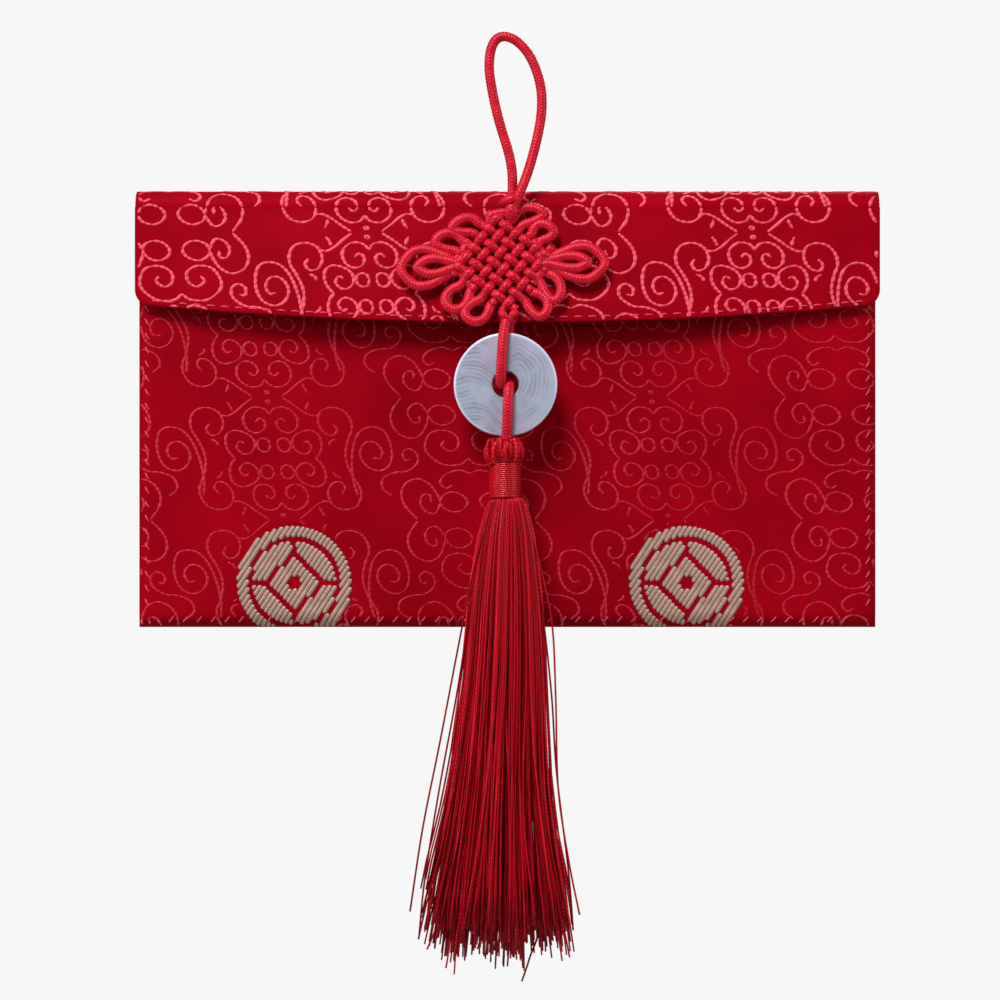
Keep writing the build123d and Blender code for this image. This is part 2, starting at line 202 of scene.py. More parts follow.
class Finish:
    """A material with one Principled shader. feed links what varies, and constant sets what doesn't."""

    def __init__(self, name):
        self.material = bpy.data.materials.new(name)
        self.material.use_nodes = True
        self.tree = self.material.node_tree
        self.shader = self.tree.nodes["Principled BSDF"]

    def node(self, kind, settings=None, inputs=None, output=0):
        """One output of a new node, as a value."""
        return Shade(self.tree, add_node(self.tree, kind, settings, inputs).outputs[output])

    def constant(self, **values):
        for key, value in values.items():
            self.shader.inputs[key.replace("_", " ")].default_value = value

    def sheen(self, weight, roughness, tone):
        """The glow of fibres that are seen at a slant."""
        self.constant(Sheen_Weight=weight, Sheen_Roughness=roughness, Sheen_Tint=(*tone, 1))

    def gloss(self, level, tone=(1, 1, 1)):
        """How much light the surface mirrors straight on, and its colour."""
        self.constant(Specular_IOR_Level=level, Specular_Tint=(*tone, 1))

    def feed(self, socket, value):
        self.tree.links.new(value.socket, self.shader.inputs[socket])

    def numbers(self, vector):
        """A vector's three numbers."""
        split = add_node(self.tree, "ShaderNodeSeparateXYZ", inputs={0: vector})
        return [Shade(self.tree, socket) for socket in split.outputs]

    def across(self):
        """The piece's own UV map, and its two numbers."""
        uv = self.node("ShaderNodeUVMap", {"uv_map": "UVMap"})
        return uv, *self.numbers(uv)[:2]

    def places(self):
        return self.node("ShaderNodeTexCoord", output="Object")

    def blend(self, share, first, second):
        """A colour share of the way from first to second."""
        ends = [c if isinstance(c, Shade) else (*c, 1) for c in (first, second)]
        return self.node("ShaderNodeMix", {"data_type": "RGBA"}, {0: share, 6: ends[0], 7: ends[1]}, output=2)

    def tones(self, share, colour, low, high):
        """A colour that goes from low to high times the one given."""
        return self.blend(share, scaled(colour, low), scaled(colour, high))

    def noise(self, places, scale, detail=2.0, output=0):
        inputs = {"Vector": places, "Scale": scale, "Detail": detail}
        return self.node("ShaderNodeTexNoise", {}, inputs, output)

    def wander(self, places, scale):
        """Noise as a vector about zero."""
        made = self.noise(places, scale, output=1)
        return self.node("ShaderNodeVectorMath", {"operation": "SUBTRACT"}, {0: made, 1: (0.5, 0.5, 0.5)})

    def relief(self, height, strength, distance):
        inputs = {"Height": height, "Strength": strength, "Distance": distance}
        self.feed("Normal", self.node("ShaderNodeBump", {}, inputs))


def brocade_ground():
    """Satin jacquard: a fine diagonal twill, cloudy depth and a soft sheen."""
    f = Finish("brocade_ground")
    uv, along, down = f.across()
    twill = ((along + down * 0.6) * (TURN / 0.62)).wave()
    weft = (down * (TURN / 0.42)).wave()
    cloud = f.noise(uv, 0.045, 3.0)
    slub = f.noise(uv, 2.2)
    shade = twill * 0.22 + weft * 0.12 + cloud * 0.75 + slub * 0.2
    f.feed("Base Color", f.tones(shade.clear(0.3, 0.95), colours().ground, 0.72, 1.2))
    f.feed("Roughness", 0.56 - twill * 0.12 + slub * 0.08)
    f.sheen(0.06, 0.25, (1.0, 0.02, 0.08))
    f.gloss(0.015)
    f.relief(twill * 0.6 + weft * 0.4, 0.3, 0.0001)
    return f.material


def brocade_scroll(name):
    """Raised satin floats: bright lines with slanting nicks where one float ends and the next begins.
    On the pocket they are painted shaded, and fade into the ground in patches and to the right: painted
    shade.
    At the pocket's foot they have a painted highlight. Over the fold they darken: painted shade."""
    f = Finish(name)
    uv, along, down = f.across()
    c = colours()
    nick = ((along * 0.75 + down) * (TURN / 1.55)).sine().clear(-0.95, -0.45)
    fine = ((along * 0.9 - down) * (TURN / 0.3)).wave()
    worn = f.noise(uv, 0.3, 3.0)
    shade = (nick * 0.4 + fine * 0.12 + worn * 0.85).clear(0.35, 1.0)
    # lit is the painted-highlight copy of the line colour and faint the painted-shade copy.
    lit = f.tones(shade, c.scroll, 0.52, 1.12)
    faint = f.tones(shade, c.scroll_painted_shade, 0.60, 1.30)
    if name == "pocket_scroll":
        # Painted shade: the pocket's lines fade into the ground in patches and more towards the right.
        painted_shade_fade = f.noise(uv, 0.028).clear(0.40, 0.62) * 0.5 + along.clear(-40, 80) * 0.32
        faint = f.blend(painted_shade_fade, faint, scaled(c.ground, 1.25))
        # Painted highlight: the pocket's lines turn to the lit copy where the wall rounds over at its foot.
        colour = f.blend(down.clear(146.8, 148.8) * worn.clear(0.40, 0.55), faint, lit)
    else:
        # Painted shade: the flap's lines turn to the shaded copy as they go over the fold.
        colour = f.blend((0 - down).clear(3.0, 12.0), lit, faint)
    f.feed("Base Color", colour)
    f.feed("Roughness", 0.5 - nick * 0.12)
    f.sheen(0.05, 0.3, (1.0, 0.4, 0.45))
    f.gloss(0.12)
    f.relief(fine, 0.3, 0.00005)
    return f.material


def lining_cloth():
    """Plain weave with thicker threads here and there."""
    f = Finish("lining_cloth")
    uv, along, down = f.across()
    weave = (along * (TURN / 0.5)).sine() * (down * (TURN / 0.5)).sine() * 0.5 + 0.5
    slub = f.noise(uv, 1.2, 3.0)
    f.feed("Base Color", f.tones((weave * 0.6 + slub * 0.6).clear(0.1, 1.0), colours().lining, 0.7, 1.25))
    f.feed("Roughness", 0.75 - slub * 0.15)
    f.gloss(0.08, (1.0, 0.30, 0.36))
    f.relief(weave, 0.4, 0.0001)
    return f.material


def grey_board():
    """Pressed fibre board."""
    f = Finish("grey_board")
    fibre = f.noise(f.places(), 2500.0, 4.0)
    f.feed("Base Color", f.tones(fibre, colours().board, 0.75, 1.2))
    f.feed("Roughness", 0.8 + fibre * 0.15)
    f.relief(fibre, 0.3, 0.0001)
    return f.material


def spun_thread(name, colour, step, rough, depth, shine=0.6):
    """Twisted thread: slanting plies round the piece's own length.
    depth is how far their shade goes up and down."""
    f = Finish(name)
    uv, along, turn = f.across()
    ply = ((along / step + turn) * TURN).wave()
    shade = (ply * 0.6 + f.noise(uv, 0.7) * 0.6).clear(0.1, 1.0)
    f.feed("Base Color", f.tones(shade, colour, 1 - depth, 1 + depth))
    f.feed("Roughness", rough + ply * 0.1)
    f.sheen(0.08, 0.35, (1.0, 0.3, 0.35))
    f.gloss(shine, (1.0, 0.30, 0.36))
    f.relief(ply, depth, 0.00012)
    return f.material


def satin_cord():
    """Braided satin cord: fine plies that cross round it, with a painted highlight on their crowns, and soft
    streaks.
    """
    f = Finish("satin_cord")
    uv, along, turn = f.across()
    step, plies = 0.78, 4
    rising = ((along / step + turn * plies) * TURN).wave()
    falling = ((along / step - turn * plies) * TURN).wave()
    braid = (rising * falling) ** 0.6
    shade = braid * 0.5 + f.noise(uv, 0.5, 3.0) * 0.75
    # Painted highlight and shade: the braid's crowns are lighter and its hollows darker in the base colour.
    f.feed("Base Color", f.tones(shade.clear(0.25, 1.0), colours().cord, 0.60, 1.30))
    f.feed("Roughness", 0.42 - braid * 0.14)
    f.sheen(0.12, 0.3, (1.0, 0.25, 0.32))
    f.gloss(0.6, (1.0, 0.34, 0.40))
    f.relief(braid, 0.5, 0.00012)
    return f.material


def gold_thread():
    """Pinkish gold floats with brown lines between them."""
    f = Finish("gold_thread")
    uv, along, side = f.across()
    brown = (0.11, 0.035, 0.028)
    twist = ((along + side * 0.8) * (TURN / 0.55)).wave()
    edge = side.size().clear(0.33, 0.58)
    worn = f.noise(uv, 0.35, 3.0)
    lit = f.tones((twist * 0.35 + worn * 0.9).clear(0.15, 1.0), colours().gold, 0.58, 1.25)
    f.feed("Base Color", f.blend(edge * 0.9, lit, brown))
    f.feed("Roughness", 0.40 + worn * 0.14)
    f.constant(Metallic=0.2, Specular_IOR_Level=0.4)
    f.relief(twist, 0.3, 0.0001)
    return f.material


def banded_stone():
    """Polished pale stone with a faint violet cast.
    It has wavy bands on one side, rings about the hole on the other and a painted highlight round its rim."""
    f = Finish("banded_stone")
    where = f.places()
    stone = tuple(colours().disc)
    violet = (0.47, 0.43, 0.57)

    def from_middle(vector):
        x, _, z = f.numbers(vector)
        return x - DISC[0] * MM, z - DISC[2] * MM

    x, z = from_middle(f.node("ShaderNodeVectorMath", {"operation": "MULTIPLY_ADD"},
                              {0: f.wander(where, 140.0), 1: (0.0030, 0.002, 0.0022), 2: where}))
    wavy = z + (x * 420.0 + 1.2).sine() * 0.0016 + x * 0.42
    ring = (x * x + (z - 0.001) * (z - 0.001)) ** 0.5
    side = x.clear(-0.0005, 0.0045)
    field = wavy * (1.0 - side) + ring * side
    bands = (field * (TURN / 0.00105)).wave()
    broad = (field * (TURN / 0.0034) + 0.8).wave()
    fade = f.noise(where, 150.0).clear(0.34, 0.60) * (1.0 - ring.clear(0.0088, 0.0128) * side)
    mask = (bands ** 1.6 * 0.75 + broad * 0.35) * fade
    body = f.blend(f.noise(where, 110.0).clear(0.38, 0.66), stone, violet)
    banded = f.blend(mask * 0.75, body, scaled(stone, 0.52))
    # Painted highlight: the base colour lightens round the rim, where the bevel catches the light.
    far_x, far_z = from_middle(where)
    rim = ((far_x * far_x + far_z * far_z) ** 0.5).clear(0.01235, 0.0128)
    f.feed("Base Color", f.blend(rim * 0.85, banded, scaled(stone, 1.75)))
    f.feed("Roughness", 0.20 + mask * 0.12)
    f.constant(Coat_Weight=0.25, Coat_Roughness=0.08, Specular_IOR_Level=0.4)
    return f.material


def tassel_thread():
    """Glossy twisted thread whose shade differs from strand to strand, with painted highlights along some
    plies.
    """
    f = Finish("tassel_thread")
    uv, along, strand = f.across()
    painted_highlight_colour = (0.82, 0.055, 0.095)
    own = f.node("ShaderNodeTexWhiteNoise", {"noise_dimensions": "1D"}, {"W": strand})
    ply = ((along / 1.05 + strand * 0.37) * TURN).wave()
    # Painted highlight: bright spots along the plies of some strands.
    painted_highlight_spots = ply ** 3 * own.clear(0.5, 0.9)
    shade = (own ** 1.4 * 0.75 + ply * 0.15 + f.noise(uv, 0.13) * 0.35).clear(0.15, 1.1)
    body = f.tones(shade, colours().tassel, 0.5, 1.55)
    f.feed("Base Color", f.blend(painted_highlight_spots * 0.7, body, painted_highlight_colour))
    f.feed("Roughness", 0.40 - own * 0.12)
    f.sheen(0.05, 0.3, (1.0, 0.2, 0.25))
    f.gloss(0.4, (1.0, 0.25, 0.30))
    return f.material


MAKERS = {
    "brocade_ground": brocade_ground,
    "flap_scroll": lambda: brocade_scroll("flap_scroll"),
    "pocket_scroll": lambda: brocade_scroll("pocket_scroll"),
    "lining_cloth": lining_cloth,
    "grey_board": grey_board,
    "seam_thread": lambda: spun_thread("seam_thread", colours().thread, 0.7, 0.5, 0.3),
    "binding_thread": lambda: spun_thread(
        "binding_thread", scaled(colours().tassel, 1.05), 0.8, 0.22, 0.2, 1.0),
    "satin_cord": satin_cord,
    "gold_thread": gold_thread,
    "banded_stone": banded_stone,
    "tassel_thread": tassel_thread,
}


def finish(name):
    """The named material, made once."""
    return bpy.data.materials.get(name) or MAKERS[name]()


def grid_faces(rows, columns, closed=False):
    """Quads of a grid of points, row by row. closed joins each row's end to its start."""
    r, c = np.meshgrid(np.arange(rows - 1), np.arange(columns if closed else columns - 1), indexing="ij")
    here, beside = r * columns + c, r * columns + (c + 1) % columns
    return np.stack([here, beside, beside + columns, here + columns], axis=-1).reshape(-1, 4)


def stacked(*numbers):
    """Points, or places on a sheet, from their separate numbers."""
    return np.stack(np.broadcast_arrays(*numbers), axis=-1)


def placed(name, data):
    """An object in the scene that holds data."""
    made = bpy.data.objects.new(name, data)
    bpy.context.scene.collection.objects.link(made)
    return made


def piece(name, shape, body, material, replaces=()):
    """A mesh object from a shape: its points in millimetres, its faces, its UV and the caps that close it.
    It rides on a body, or on none."""
    points, faces, uv, caps = shape
    mesh = bpy.data.meshes.new(name)
    mesh.from_pydata((points * MM).tolist(), [], faces.tolist() + caps)
    layer = mesh.uv_layers.new(name="UVMap")
    order = np.zeros(len(mesh.loops), np.int32)
    mesh.loops.foreach_get("vertex_index", order)
    layer.data.foreach_set("uv", uv.astype(np.float32)[order].ravel())
    mesh.polygons.foreach_set("use_smooth", np.ones(len(mesh.polygons), bool))
    mesh.materials.append(finish(material))
    made = placed(name, mesh)
    if body:
        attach(made, body)
    if replaces:
        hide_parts(*replaces)
    return made


def thicken(made, thickness, offset):
    """Gives a sheet its thickness, with a sharp border. offset -1 grows it to the back of its faces."""
    mesh = made.data
    used = np.zeros(len(mesh.loops), np.int32)
    mesh.loops.foreach_get("edge_index", used)
    border = np.bincount(used, minlength=len(mesh.edges)) == 1
    mesh.attributes.new("sharp_edge", "BOOLEAN", "EDGE").data.foreach_set("value", border)
    wall = made.modifiers.new("thickness", "SOLIDIFY")
    wall.thickness, wall.offset, wall.use_even_offset = thickness * MM, offset, False
    return made


def unit(vectors):
    """The vectors, each over its own length."""
    return vectors / np.maximum(np.linalg.norm(vectors, axis=-1, keepdims=True), 1e-12)


def arc_length(line):
    """How far along the line each of its points is."""
    return np.concatenate([[0], np.cumsum(np.linalg.norm(np.diff(line, axis=0), axis=1))])


def evenly(line, step):
    """The line again, with points about step apart."""
    along = arc_length(line)
    at = np.linspace(0, along[-1], max(4, int(round(along[-1] / step)) + 1))
    return np.stack([np.interp(at, along, line[:, k]) for k in range(line.shape[1])], axis=1)


def smooth_line(points, step):
    """A curve through the points. Each run is a cubic, and its slope at a point is half the way from the
    point before to the point after."""
    p = np.asarray(points, float)
    q = np.concatenate([2 * p[:1] - p[1:2], p, 2 * p[-1:] - p[-2:-1]])
    a, b, c, d = (q[k:len(q) - 3 + k, None] for k in range(4))
    t = np.linspace(0, 1, 12, endpoint=False)[None, :, None]
    bend, twist = 2 * a - 5 * b + 4 * c - d, 3 * b - a - 3 * c + d
    curve = 0.5 * (2 * b + (c - a) * t + bend * t**2 + twist * t**3)
    return evenly(np.concatenate([curve.reshape(-1, p.shape[1]), p[-1:]]), step)


def tube(line, half_wide, half_high, up, sides=14, rib=0.0, rib_step=0.95):
    """The shape of a cord: an oval carried along the line, its wide side across up, with chevron ribs.
    rib is the share that the radius gains and loses over each rib."""
    n = len(line)
    ahead = unit(np.gradient(line, axis=0))
    side = unit(np.cross(np.broadcast_to(up, (n, 3)), ahead))
    top = np.cross(ahead, side)
    along = arc_length(line)
    turn = np.arange(sides) / sides
    fold = np.abs(turn * 2 - 1)
    grow = 1 + rib * np.sin(TURN * (along[:, None] / rib_step - fold[None] * 0.9))
    wide = np.broadcast_to(half_wide, (n,))[:, None] * grow * np.cos(TURN * turn)[None]
    high = np.broadcast_to(half_high, (n,))[:, None] * grow * np.sin(TURN * turn)[None]
    points = line[:, None] + side[:, None] * wide[..., None] + top[:, None] * high[..., None]
    uv = stacked(along[:, None], turn[None])
    return points.reshape(-1, 3), grid_faces(n, sides, closed=True), uv.reshape(-1, 2), end_caps(n, sides)


def end_caps(rings, sides):
    """The two faces that close a row of rings."""
    return [list(range(sides))[::-1], list(range((rings - 1) * sides, rings * sides))]


def joined(parts):
    """Several shapes as one."""
    points, faces, uv, caps, first = [], [], [], [], 0
    for p, f, u, c in parts:
        points.append(p)
        faces.append(f + first)
        uv.append(u)
        caps += [(np.array(cap) + first).tolist() for cap in c]
        first += len(p)
    return np.concatenate(points), np.concatenate(faces), np.concatenate(uv), caps


def roll(x, edge, reach):
    """The angle, 0 to a quarter turn, at which a panel that ends at edge has rolled over by reach."""
    return np.arcsin(np.clip((np.abs(x) - edge) / reach, 0, 1))


def wall_point(x, z, face, inward, ease=1.0):
    """A wall of the pocket: flat, with a slow swell, and rolled over its side and bottom edges to mid-depth.
    Depth is the half depth times one less the product of the two rolls' cosines.
    ease is the side roll's share."""
    side = roll(x, FLAT_HALF, HALF_WIDTH - FLAT_HALF) * ease
    foot = roll(np.minimum(z, 0), -FLAT_FOOT, FLAT_FOOT - BOTTOM_Z)
    swell = 0.16 * np.sin(x / 17.0 + 0.6) * np.sin(z / 23.0) + 0.10 * np.sin(x / 7.3 - z / 9.1)
    flat = np.cos(side) * np.cos(foot)
    return stacked(x, face + inward * (HALF_DEPTH * (1 - flat) + swell * flat), z)


def front_point(x, z):
    """The front wall, which stands slightly proud of the solid."""
    return wall_point(x, z, FRONT_Y - PROUD, 1)


def smooth_step(share):
    """0 to 1 with a soft start and end."""
    share = np.clip(share, 0, 1)
    return share**2 * (3 - 2 * share)


def back_point(x, z):
    """The back wall. Its sides come off the fold flat and as wide as it.
    They roll over in the first 9 mm below it."""
    ease = smooth_step((CREASE_Z - z) / 9.0)
    return wall_point(x * (1 + FOLD_OVERHANG / HALF_WIDTH * (1 - ease)), z, BACK_Y + PROUD, -1, ease)


def flap_edge(x, inset=0.0):
    """How far the flap reaches below the fold: an arc that is deepest in the middle, with quarter circles
    for corners. inset draws the whole outline in."""
    share = np.clip(np.abs(x) / FLAP_HALF, 0, 1)
    radius = FLAP_CORNER - inset
    past = np.clip(np.abs(x) - (FLAP_HALF - FLAP_CORNER), 0, radius)
    corner = radius - np.sqrt(radius**2 - past**2)
    return FLAP_END - inset + (FLAP_MIDDLE - FLAP_END) * (1 - share**2) - corner


def flap_point(x, down):
    """The flap and the fold above it. Below the fold, the flap bows forwards in proportion to down, after
    a soft start. Across it the bow falls to nothing at the sides: as a square to the right, as a fifth
    power to the left. Above, with down negative, it goes round the fold's half circle."""
    start = 0.03
    share = np.maximum(down, 0) / FLAP_MIDDLE
    far = np.clip(np.abs(x) / FLAP_HALF, 0, 1)
    bow = FLAP_BOW * (1 - np.where(x < 0, far**5, far**2)) * (share - start * (1 - np.exp(-share / start)))
    swell = 0.07 * np.sin(x / 13.0) * np.sin(np.maximum(down, 0) / 8.0)
    angle = np.maximum(-down, 0) / CREASE_RADIUS
    y = CREASE_Y - CREASE_RADIUS * np.cos(angle) - bow + swell - 0.04
    z = CREASE_Z - np.maximum(down, 0) + CREASE_RADIUS * np.sin(angle)
    return stacked(x, y, z)


def outward(surface, a, b, sign):
    """Unit normals of a surface of two parameters, from its slopes."""
    e = 0.05
    slope_a = surface(a + e, b) - surface(a - e, b)
    slope_b = surface(a, b + e) - surface(a, b - e)
    return sign * unit(np.cross(slope_a, slope_b))


SCROLL_STEP = 0.3

# Strokes of the scroll pattern in a quarter of its repeat, in millimetres from the axis and down from the row
MIRRORED_STROKES = (
    [(3.9, 0.2), (6.6, 2.1), (8.6, 3.7), (10.9, 4.8), (12.8, 4.5)],
    [(10.6, 1.1), (9.9, 2.2), (9.5, 3.4)],
    [(0.0, 4.5), (1.3, 3.0), (3.8, 2.6), (6.1, 3.9), (7.0, 5.9), (6.2, 8.3), (4.1, 9.2), (2.0, 8.3),
     (1.5, 6.4), (2.7, 5.5), (3.9, 6.4)],
    [(15.8, 6.8), (16.8, 8.3), (15.7, 9.8), (13.5, 9.2), (12.2, 6.7), (13.1, 3.9), (15.8, 2.7), (18.9, 3.4),
     (20.5, 5.7), (20.6, 8.3), (19.4, 10.8), (18.4, 13.4), (18.0, 15.9)],
    [(16.1, 10.8), (14.8, 11.4), (14.2, 12.5)],
    [(10.3, 15.8), (11.5, 14.5), (12.3, 12.4), (11.9, 9.9), (10.1, 8.6), (7.7, 8.9), (5.5, 10.2),
     (4.8, 12.3), (6.1, 14.2), (8.2, 14.6), (9.6, 13.0), (8.7, 11.4), (7.4, 11.9)],
    [(0.9, 12.3), (1.4, 11.0), (2.7, 10.6), (3.9, 11.2), (4.3, 12.4), (3.8, 13.6), (2.6, 14.1), (1.4, 13.6),
     (0.9, 12.3)],
    [(0.0, 0.7), (0.5, 1.2), (0.0, 1.7)],
    [(40.6, 4.6), (41.6, 2.9), (44.2, 2.1), (46.6, 2.9), (47.7, 4.7), (46.6, 6.4), (44.1, 7.2), (41.8, 6.4),
     (40.6, 4.6)],
    [(34.3, 0.2), (31.7, 3.4), (31.0, 6.5), (32.5, 9.4), (35.8, 10.6), (38.6, 9.2), (40.1, 6.8),
     (40.8, 4.8)],
    [(40.7, 4.2), (39.1, 1.8), (36.9, 2.1), (35.6, 4.1), (36.5, 6.4), (38.3, 6.4), (38.4, 4.7)],
)
SINGLE_STROKES = (
    [(19.8, 25.2), (19.2, 21.7), (19.3, 18.0), (19.9, 14.5), (21.2, 10.8), (23.3, 8.4), (26.1, 7.7),
     (28.6, 8.6), (29.9, 11.5), (30.0, 15.0), (28.7, 17.8), (26.1, 18.9), (23.5, 18.0), (21.9, 15.5),
     (22.4, 13.0), (24.2, 11.5), (26.4, 11.9), (27.6, 13.9), (26.8, 15.8), (25.0, 15.6)],
    [(49.35, 15.8), (47.2, 17.3), (42.8, 17.3), (39.4, 14.8), (38.9, 12.2), (40.8, 9.2), (44.5, 8.6),
     (47.3, 10.2), (47.2, 12.8), (45.1, 13.9), (43.1, 12.5), (44.0, 11.2)],
    [(28.6, 25.4), (26.4, 23.4), (27.0, 20.8), (30.0, 19.4), (33.4, 19.0), (36.2, 17.0), (36.4, 14.6),
     (34.6, 13.3), (32.8, 14.4), (33.2, 16.2), (34.6, 16.0)],
    [(49.35, 19.6), (46.6, 18.8), (43.0, 19.9), (41.4, 21.9), (42.6, 23.4), (44.4, 22.7)],
)


def runs(line, inside):
    """The stretches of a line whose points are inside."""
    cuts = np.flatnonzero(np.diff(np.concatenate([[0], inside.astype(int), [0]])))
    return [line[a:b] for a, b in zip(cuts[::2], cuts[1::2]) if b - a > 4]


def scroll_lines(centre, top, low, half):
    """Every stroke of the pattern between the depths top and low(x), and as far as half to each side.
    Each is repeated and mirrored about its axis and row, and leans by the skew."""
    s = sizes()
    kept = []
    for strokes, flips in ((MIRRORED_STROKES, (1, -1)), (SINGLE_STROKES, (1,))):
        lines = [smooth_line(stroke, SCROLL_STEP) for stroke in strokes]
        for line, i, j, flip, side in product(lines, range(-2, 3), range(-5, 6), flips, (1, -1)):
            v = line[:, 1] * flip + j * s.repeat_z
            u = line[:, 0] * side + i * s.repeat_x + s.skew * v
            x, down = centre[0] + u, centre[1] + v
            kept += runs(stacked(x, down), (np.abs(x) < half) & (down > top) & (down < low(x)))
    return kept


def ribbons(lines, surface, sign, width, height, plain=False):
    """Raised lines on a surface: a low arch carried along each line. A scroll is wider where it runs up
    and down, and steps in and out along the twill. A plain one keeps its width. The UV is the place on
    the cloth, or for a plain one the distance along and across."""
    across = np.array([-1.0, -0.55, 0.0, 0.55, 1.0])
    arch = np.array([-0.35, 0.72, 1.0, 0.72, -0.35])
    parts = []
    for line in lines:
        along = arc_length(line)
        ahead = unit(np.gradient(line, axis=0))
        side = stacked(-ahead[:, 1], ahead[:, 0])
        swell = np.ones(len(line))
        if not plain:
            slant = line[:, 0] * 0.75 + line[:, 1]
            swell = (0.66 + 0.44 * ahead[:, 1] ** 2) * (0.90 + 0.16 * np.sin(TURN * slant / 1.55))
            swell = swell * (1 + 0.10 * np.sin(along * 1.3 + line[0, 0]))
        taper = np.clip(np.minimum(along, along[-1] - along) / 0.6 + 0.35, 0, 1)
        offset = across[None] * (width / 2) * (swell * taper)[:, None]
        flat = line[:, None] + side[:, None] * offset[..., None]
        a, b = flat[..., 0], flat[..., 1]
        rise = height * arch[None] * (np.minimum(swell, 1) * taper)[:, None]
        points = surface(a, b) + outward(surface, a, b, sign) * rise[..., None]
        uv = stacked(along[:, None], across[None] * width / 2) if plain else flat
        parts.append((points.reshape(-1, 3), grid_faces(len(line), 5), uv.reshape(-1, 2), []))
    return joined(parts)


def cloth(name, surface, a, b, body, material="brocade_ground", replaces=(), flip=False):
    """A sheet over the grid of the parameters a and b. Its UV is the two parameters, in millimetres."""
    grid_a, grid_b = np.meshgrid(a, b)
    faces = grid_faces(len(b), len(a))
    shape = (surface(grid_a, grid_b).reshape(-1, 3), faces[:, ::-1] if flip else faces,
             stacked(grid_a, grid_b).reshape(-1, 2), [])
    return piece(name, shape, body, material, replaces)


# Shares of a quarter turn's reach, in nine even angles
QUARTER = np.sin(np.linspace(0, math.pi / 2, 10)[1:])


def rolled(half, flat, count):
    """Places across a panel that crowd together where its two edges roll over."""
    bend = flat + (half - flat) * QUARTER
    return np.concatenate([-bend[::-1], np.linspace(-flat, flat, count), bend])


class ENVELOPE_OT_pocket(Operator):
    """Brocade walls, gussets, linings and boards of the pocket"""

    bl_idname = "envelope.pocket"
    bl_label = "Pocket"

    def execute(self, context):
        across = rolled(HALF_WIDTH, FLAT_HALF, 120)
        foot = FLAT_FOOT + (BOTTOM_Z - FLAT_FOOT) * QUARTER
        for name, surface, top, flip in (("front_cover", front_point, MOUTH_Z, True),
                                         ("back_cover", back_point, CREASE_Z, False)):
            down = np.concatenate([np.linspace(top, FLAT_FOOT, 76), foot])
            sheet = cloth(f"{name}_brocade", surface, across, down, "pocket", replaces=[name], flip=flip)
            thicken(sheet, 0.35, -1)
        self.gussets()
        inset, under = 0.6, 1.08
        across = np.linspace(inset - PANEL_HALF, PANEL_HALF - inset, 70)
        for name, y, top, flip in (("front_lining", FRONT_Y + under, MOUTH_Z, True),
                                   ("back_lining", BACK_Y - under, CREASE_Z, False)):
            def surface(x, z, y=y):
                return stacked(x, y + 0.04 * np.sin(x / 6) * np.sin(z / 9), z)
            down = np.linspace(top - inset, PANEL_BOTTOM + inset, 50)
            sheet = cloth(f"{name}_cloth", surface, across, down, "pocket", "lining_cloth",
                          [name], flip)
            thicken(sheet, 0.15, 0)
        for name in ("front_board", "back_board"):
            node = frame["nodes"][name]
            node.data.materials.clear()
            node.data.materials.append(finish("grey_board"))
        return {"FINISHED"}

    @staticmethod
    def gussets():
        """Strips just inside the rolled edges: half an oval across the depth, carried along the edge.
        In the top 8 mm the back half of a side strip spreads and rises with the back wall, up to the fold."""
        middle, half = (FRONT_Y + BACK_Y) / 2, HALF_DEPTH - 0.55
        turn = np.linspace(-math.pi / 2, math.pi / 2, 15)
        top, near, spread, rise = MOUTH_Z - 0.1, 8.0, 2.3, CREASE_Z - MOUTH_Z
        for name, side in (("left_gusset", -1), ("right_gusset", 1)):
            def surface(t, z, side=side):
                lift = smooth_step((z - MOUTH_Z) / near + 1) * np.maximum(np.sin(t), 0) ** 2
                out = PANEL_HALF - 0.5 + 2.0 * np.cos(t) + spread * lift
                return stacked(side * out, middle + half * np.sin(t), z + rise * lift)
            strip = cloth(f"{name}_brocade", surface, turn, np.linspace(top, PANEL_BOTTOM, 60), "pocket",
                          replaces=[name], flip=side > 0)
            thicken(strip, 0.3, -1)

        def foot(x, t):
            return stacked(x, middle + half * np.sin(t), PANEL_BOTTOM + 0.4 - 1.6 * np.cos(t))
        reach = PANEL_HALF + 0.7
        strip = cloth("bottom_gusset_brocade", foot, np.linspace(-reach, reach, 100), turn, "pocket",
                      replaces=["bottom_gusset"], flip=True)
        thicken(strip, 0.3, -1)


